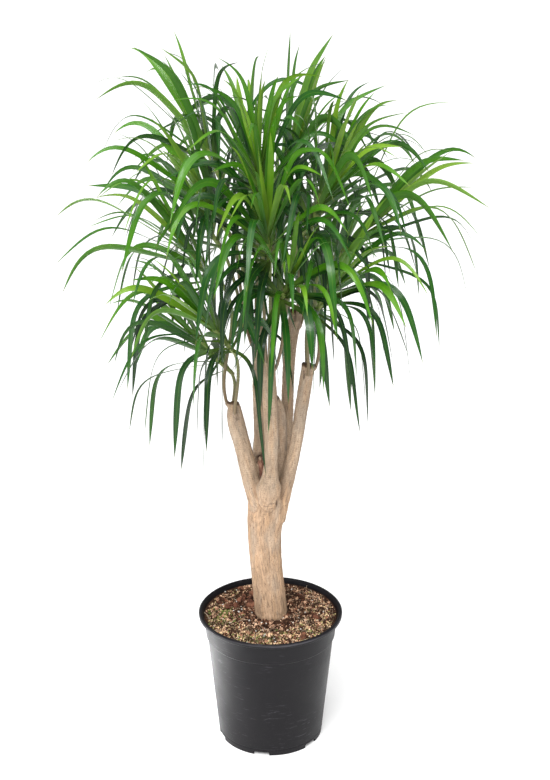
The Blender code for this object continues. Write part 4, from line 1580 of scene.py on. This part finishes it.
def carve_bark(mesh, limbs):
    """Moves the bark's points in and out, and keeps what its material reads."""
    points = points_of(mesh)
    normals = np.array([vertex.normal for vertex in mesh.vertices])
    which, local, to_end = nearest_limb(points, limbs)
    cane = np.clip((points[:, 2] - CANE_BARK_LOW) / CANE_BARK_SPAN, 0, 1) * (which > 0)
    cut = np.zeros(len(points))
    crease = np.zeros(len(points))
    stub = len(limbs) - 1
    for i, spot in enumerate(local):
        if points[i, 2] < TRUNK_FOOT + 0.003:
            continue
        rough = noise.noise(Vector(spot) * 260)
        if which[i]:
            edge = 0.0030 + 0.0022 * rough
            cut[i] = unit(1 - (to_end[i] - edge) / 0.0015)
        lift = fissures(spot, cane[i]) * (1 - 0.5 * cut[i]) + 0.0009 * rough * cut[i]
        if not which[i]:
            near_foot = math.exp(-(((points[i, 2] - FOOT_BARK_HEIGHT) / FOOT_BARK_SPAN) ** 2))
            lift += 0.0028 * near_foot * max(0.0, noise.noise(Vector(points[i]) * 75) + 0.1)
        points[i] += normals[i] * lift
    # Each mark dents the bark and paints shade into the dent, darker as its dark value grows.
    for place, sizes, depth, dark in scars():
        warp = np.array([noise.noise(Vector(point) * 240) for point in points])
        near = np.linalg.norm((points - place) / sizes, axis=1) + 0.35 * warp
        dent = np.clip(1 - near, 0, 1)
        points -= normals * (dent * depth)[:, None]
        crease = np.maximum(crease, np.clip(dark * dent, 0, 1))
    raw = (which == stub) * np.clip((points[:, 2] - RAW_WOOD_LOW) / RAW_WOOD_SPAN, 0, 1)
    set_points(mesh, points)
    store(mesh, "grain", "FLOAT_VECTOR", local)
    for label, values in (("cane", cane), ("cut", cut), ("crease", crease), ("raw", raw)):
        store(mesh, label, "FLOAT", values)


def scars():
    """Cracks, old scars and a dark hollow dented into the bark: place, half sizes, depth and how much painted
    shade darkens each dent.
    """
    marks = [
        ((0.020, -0.033, 0.488), (0.0022, 0.010, 0.013), 0.0035, 1.6),
        ((-0.014, -0.058, 0.770), (0.006, 0.010, 0.007), 0.0015, 0.8),
        ((-0.060, -0.036, 0.676), (0.008, 0.010, 0.005), 0.0012, 0.7),
        ((0.061, -0.022, 0.757), (0.0020, 0.010, 0.015), 0.0016, 1.2),
        # A dark patch on the back-left cane's front: painted shadow of the hollow between the back-left and
        # front canes, left of the stub.
        ((-0.020, 0.020, 0.576), (0.014, 0.018, 0.013), 0.0060, 1.5),
        ((0.012, -0.040, 0.507), (0.0018, 0.014, 0.012), 0.0022, 1.4),
    ]
    wrinkles = (
        (-0.013, 0.498, 0.011),
        (-0.005, 0.492, 0.013),
        (0.004, 0.499, 0.010),
        (-0.010, 0.485, 0.009),
        (-0.008, 0.506, 0.012),
        (0.002, 0.512, 0.009),
    )
    for x, z, width in wrinkles:
        marks.append(((x, -0.047, z), (width, 0.016, 0.0024), 0.0012, 0.75))
    return [(Vector(place), Vector(sizes), depth, dark) for place, sizes, depth, dark in marks]


# Shoots


def profile_object(name, section):
    """A closed outline in XY for the sweep, with what each of its points carries."""
    points = [(out, across, 0) for out, across, _ in section]
    edges = [(i, (i + 1) % len(points)) for i in range(len(points))]
    mesh = mesh_from(name, points, edges)
    store(mesh, "across", "FLOAT", [across for _, across, _ in section])
    store(mesh, "under", "FLOAT", [under for _, _, under in section])
    obj = add_object(name, mesh)
    obj.hide_render = True
    return obj


def paths_object(name, paths, labels):
    """Paths as loose edges. Each path is a list of points, each a place, a face_out and more values."""
    places = []
    edges = []
    outs = []
    values = {label: [] for label in labels}
    for path in paths:
        first = len(places)
        edges += [(first + i, first + i + 1) for i in range(len(path) - 1)]
        for place, out, *more in path:
            places.append(place)
            outs.append(out)
            for label, value in zip(labels, more):
                values[label].append(value)
    mesh = mesh_from(name, places, edges)
    store(mesh, "face_out", "FLOAT_VECTOR", [tuple(out) for out in outs])
    for label in labels:
        store(mesh, label, "FLOAT", values[label])
    return add_object(name, mesh)


def keep_inside(mesh):
    """Holds a mesh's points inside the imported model's box."""
    low = np.array(CAD_LOW) + BOX_MARGIN
    high = np.array(CAD_HIGH) - BOX_MARGIN
    set_points(mesh, np.clip(points_of(mesh), low, high))


def stem_path(route, radii):
    """A stem's fine path, ringed with the scars of fallen leaves."""
    rows = smooth_rows([(*place, radius) for place, radius in zip(route, radii)], 0.0017)
    points = places_in(rows)
    path = []
    travelled = 0.0
    for i, (row, way) in enumerate(zip(rows, ways_along(points))):
        if i:
            travelled += (points[i] - points[i - 1]).length
        scar = max(0.0, math.cos(travelled * FULL_TURN / 0.0062)) ** 3
        path.append((points[i], side_of(way), row[3] * (0.96 + 0.10 * scar), i / (len(rows) - 1), scar))
    return path


def make_stems(settings):
    tree = sweep_tree()
    turns = [i * FULL_TURN / STEM_SIDES for i in range(STEM_SIDES)]
    ring = profile_object("stem_ring", [(math.cos(turn), math.sin(turn), 0) for turn in turns])
    skin = green_stem()
    for i, (route, radii) in enumerate(all_routes(12)):
        name = f"stem_{i + 1:02d}"
        radii = [radius * settings.thickness for radius in radii]
        paths = paths_object(name, [stem_path(route, radii)], ("half_width", "along", "scar"))
        stem = run_tree(paths, tree, {"Profile": ring, "Finish": skin})
        finish_piece(stem, 60, skin, "leaf", f"shoot_{i + 1:02d}")
    bpy.data.objects.remove(ring, do_unlink=True)


def leaf_path(blade, age, draw):
    """A blade's path for the sweep, with a slight twist towards its tip."""
    twist = draw.uniform(-0.3, 0.3)
    tone = draw.random()
    path = []
    for i, (place, _, side, upper) in enumerate(blade.path):
        along = i / PATH_STEPS
        out = swung(upper, side, twist * along * along)
        half = max(0.00018, 0.5 * blade_width(along, blade.width))
        path.append((place, out, half, along, age, tone))
    return path


def make_leaves(settings):
    tree = sweep_tree()
    section = profile_object("blade_section", BLADE_SECTION)
    finish = leaf_blade(settings)
    draw = random.Random(SEED)
    for i, blades in enumerate(grow_crown(settings.more_blades)):
        name = f"leaves_{i + 1:02d}"
        paths = [leaf_path(blade, age, draw) for blade, age in blades]
        bare = paths_object(name, paths, ("half_width", "along", "age", "tone"))
        leaves = run_tree(bare, tree, {"Profile": section, "Finish": finish})
        keep_inside(leaves.data)
        finish_piece(leaves, 50, finish, "leaf", f"shoot_{i + 1:02d}")
    bpy.data.objects.remove(section, do_unlink=True)


# Stage


def soft_box(name, place, target, size, power, spread=180):
    lamp = bpy.data.lights.new(name, "AREA")
    lamp.shape = "RECTANGLE"
    lamp.size = size[0]
    lamp.size_y = size[1]
    lamp.energy = power
    lamp.spread = math.radians(spread)
    obj = bpy.data.objects.new(name, lamp)
    obj.visible_camera = False
    bpy.context.scene.collection.objects.link(obj)
    obj.location = place
    obj.rotation_euler = (Vector(target) - Vector(place)).to_track_quat("-Z", "Y").to_euler()


def make_stage(settings):
    scene = bpy.context.scene
    bpy.ops.mesh.primitive_circle_add(vertices=96, radius=FLOOR_REACH, fill_type="NGON", location=(0, 0, 0))
    floor = bpy.context.object
    floor.name = "studio_floor"
    wear(floor, studio_floor(settings))
    world = bpy.data.worlds.new("studio")
    world.use_nodes = True
    sky = world.node_tree.nodes["Background"]
    sky.inputs["Color"].default_value = (1, 1, 1, 1)
    sky.inputs["Strength"].default_value = settings.sky
    scene.world = world
    overhead = bpy.data.lights.new("overhead", "SUN")
    overhead.energy = settings.overhead
    overhead.angle = math.radians(75)
    ceiling = bpy.data.objects.new("overhead", overhead)
    scene.collection.objects.link(ceiling)
    ceiling.rotation_euler = (math.radians(24), math.radians(-6), 0)
    soft_box("key", (-2.0, 0.2, 0.9), (0, 0, 0.5), (0.6, 1.4), settings.key)
    soft_box("fill", (-0.5, -2.5, 2.5), (0, 0, 0.9), (1.8, 0.5), settings.fill)
    soft_box("glow", (-0.50, 0.10, 0.45), (-0.48, 0.10, 0), (0.4, 0.4), settings.glow, 80)
    camera = bpy.data.cameras.new("camera")
    camera.sensor_width = SENSOR_WIDTH
    camera.lens = LENS
    shot = bpy.data.objects.new("camera", camera)
    scene.collection.objects.link(shot)
    shot.location = CAMERA_PLACE
    shot.rotation_euler = [math.radians(angle) for angle in CAMERA_ANGLES]
    scene.camera = shot
    scene.view_settings.view_transform = "Standard"


# Add-on


def colour_of(label, words, default):
    return FloatVectorProperty(
        name=label, description=words, subtype="COLOR", size=3, min=0, max=1, default=default
    )


def amount(label, words, default, low=0, **more):
    return FloatProperty(name=label, description=words, default=default, min=low, **more)


class DracaenaPot(bpy.types.PropertyGroup):
    steps: IntProperty(name="Steps", description="Sides of the turned pot", default=144, min=32, max=256)
    colour: colour_of("Colour", "The plastic's colour", (0.0046, 0.0038, 0.0058))
    roughness: amount("Roughness", "How dull the plastic is", 0.46, max=1, subtype="FACTOR")


class DracaenaSoil(bpy.types.PropertyGroup):
    steps: IntProperty(name="Steps", description="Points round the soil's surface", default=144, min=24)
    rings: IntProperty(name="Rings", description="Rings of points on the surface", default=56, min=8)
    crumbs: amount("Crumbs", "Crumbs on a square metre", 72000)
    perlite: amount("Perlite", "Perlite grains on a square metre", 2600)
    chips: amount("Bark chips", "Bark chips on a square metre", 5200)
    fibres: amount("Fibres", "Husk fibres on a square metre", 1900)
    moss: amount("Moss", "Moss tufts on a square metre", 60000)


class DracaenaTrunk(bpy.types.PropertyGroup):
    voxel: amount("Grain size", "Size of the bark's facets", 0.0020, 0.001, subtype="DISTANCE")
    trunk_colour: colour_of("Trunk", "Colour of the old bark", (0.500, 0.335, 0.215))
    cane_colour: colour_of("Canes", "Colour of the younger bark", (0.440, 0.325, 0.228))


class DracaenaShoots(bpy.types.PropertyGroup):
    thickness: amount("Stem thickness", "Share of the stems' own", 1.0, 0.5)
    more_blades: IntProperty(
        name="More leaves", description="Leaves on each head beyond the packed model's", default=24, min=0
    )
    young_colour: colour_of("Young", "Colour of the youngest leaves", (0.170, 0.320, 0.026))
    green_colour: colour_of("Green", "Colour of full-grown leaves", (0.058, 0.200, 0.006))
    # The deep and old colours carry painted shade for the crown's inside as well as the leaves' own green.
    deep_shaded_colour: colour_of("Deep", "Colour of older leaves", (0.013, 0.080, 0.007))
    old_shaded_colour: colour_of("Old", "Colour of the oldest leaves", (0.005, 0.028, 0.006))
    root_colour: colour_of("Roots", "Colour at the leaves' roots", (0.190, 0.300, 0.055))
    under_colour: colour_of("Undersides", "Colour of the undersides", (0.055, 0.140, 0.030))
    gloss: amount("Gloss", "Roughness of the upper faces", 0.22, max=0.8, subtype="FACTOR")


class DracaenaStage(bpy.types.PropertyGroup):
    floor_colour: colour_of("Floor", "The floor's colour", (0.99, 0.99, 0.99))
    sky: amount("Sky", "Strength of the light from all round", 0.40)
    overhead: amount("Overhead", "Strength of the ceiling's light", 2.9)
    key: amount("Key", "Power of the main lamp", 3, subtype="POWER")
    glow: amount("Glow", "Power of the lamp over the floor", 4, subtype="POWER")
    fill: amount("Fill", "Power of the second lamp", 60, subtype="POWER")


class PotOperator(bpy.types.Operator):
    """Turn the pot, notch its foot and pierce its floor"""

    bl_idname = "dracaena.pot"
    bl_label = "Nursery Pot"

    def execute(self, context):
        make_pot(context.scene.dracaena_pot)
        return {"FINISHED"}


class SoilOperator(bpy.types.Operator):
    """Fill the pot with planting mix"""

    bl_idname = "dracaena.soil"
    bl_label = "Soil"

    def execute(self, context):
        make_soil(context.scene.dracaena_soil)
        return {"FINISHED"}


class LitterOperator(bpy.types.Operator):
    """Strew crumbs, perlite, bark, fibres and moss over the soil"""

    bl_idname = "dracaena.litter"
    bl_label = "Soil Litter"

    def execute(self, context):
        make_litter(context.scene.dracaena_soil)
        return {"FINISHED"}


class TrunkOperator(bpy.types.Operator):
    """Grow the trunk and its cut canes together and carve their bark"""

    bl_idname = "dracaena.trunk"
    bl_label = "Trunk"

    def execute(self, context):
        make_trunk(context.scene.dracaena_trunk)
        return {"FINISHED"}


class StemsOperator(bpy.types.Operator):
    """Run a ringed stem from its cane to each head"""

    bl_idname = "dracaena.stems"
    bl_label = "Stems"

    def execute(self, context):
        make_stems(context.scene.dracaena_shoots)
        return {"FINISHED"}


class LeavesOperator(bpy.types.Operator):
    """Grow the leaves of every head"""

    bl_idname = "dracaena.leaves"
    bl_label = "Leaves"

    def execute(self, context):
        make_leaves(context.scene.dracaena_shoots)
        return {"FINISHED"}


class StageOperator(bpy.types.Operator):
    """Lay the floor, light it and set up the camera"""

    bl_idname = "dracaena.stage"
    bl_label = "Studio"

    def execute(self, context):
        make_stage(context.scene.dracaena_stage)
        return {"FINISHED"}


OPERATORS = (
    PotOperator,
    SoilOperator,
    LitterOperator,
    TrunkOperator,
    StemsOperator,
    LeavesOperator,
    StageOperator,
)
GROUPS = {
    "dracaena_pot": DracaenaPot,
    "dracaena_soil": DracaenaSoil,
    "dracaena_trunk": DracaenaTrunk,
    "dracaena_shoots": DracaenaShoots,
    "dracaena_stage": DracaenaStage,
}


class DracaenaPanel(bpy.types.Panel):
    bl_idname = "VIEW3D_PT_dracaena"
    bl_label = "Potted Dracaena"
    bl_space_type = "VIEW_3D"
    bl_region_type = "UI"
    bl_category = "Dracaena"

    def draw(self, context):
        for name, group in GROUPS.items():
            box = self.layout.box()
            for prop in group.__annotations__:
                box.prop(getattr(context.scene, name), prop)
        for operator in OPERATORS:
            self.layout.operator(operator.bl_idname)


def register():
    for group in GROUPS.values():
        bpy.utils.register_class(group)
    for operator in OPERATORS:
        bpy.utils.register_class(operator)
    bpy.utils.register_class(DracaenaPanel)
    for name, group in GROUPS.items():
        setattr(bpy.types.Scene, name, PointerProperty(type=group))


def unregister():
    for name in GROUPS:
        delattr(bpy.types.Scene, name)
    bpy.utils.unregister_class(DracaenaPanel)
    for operator in reversed(OPERATORS):
        bpy.utils.unregister_class(operator)
    for group in reversed(list(GROUPS.values())):
        bpy.utils.unregister_class(group)


def main():
    register()
    bpy.ops.dracaena.pot()
    bpy.ops.dracaena.soil()
    bpy.ops.dracaena.litter()
    bpy.ops.dracaena.trunk()
    bpy.ops.dracaena.stems()
    bpy.ops.dracaena.leaves()
    bpy.ops.dracaena.stage()


if __name__ == "__main__":
    main()
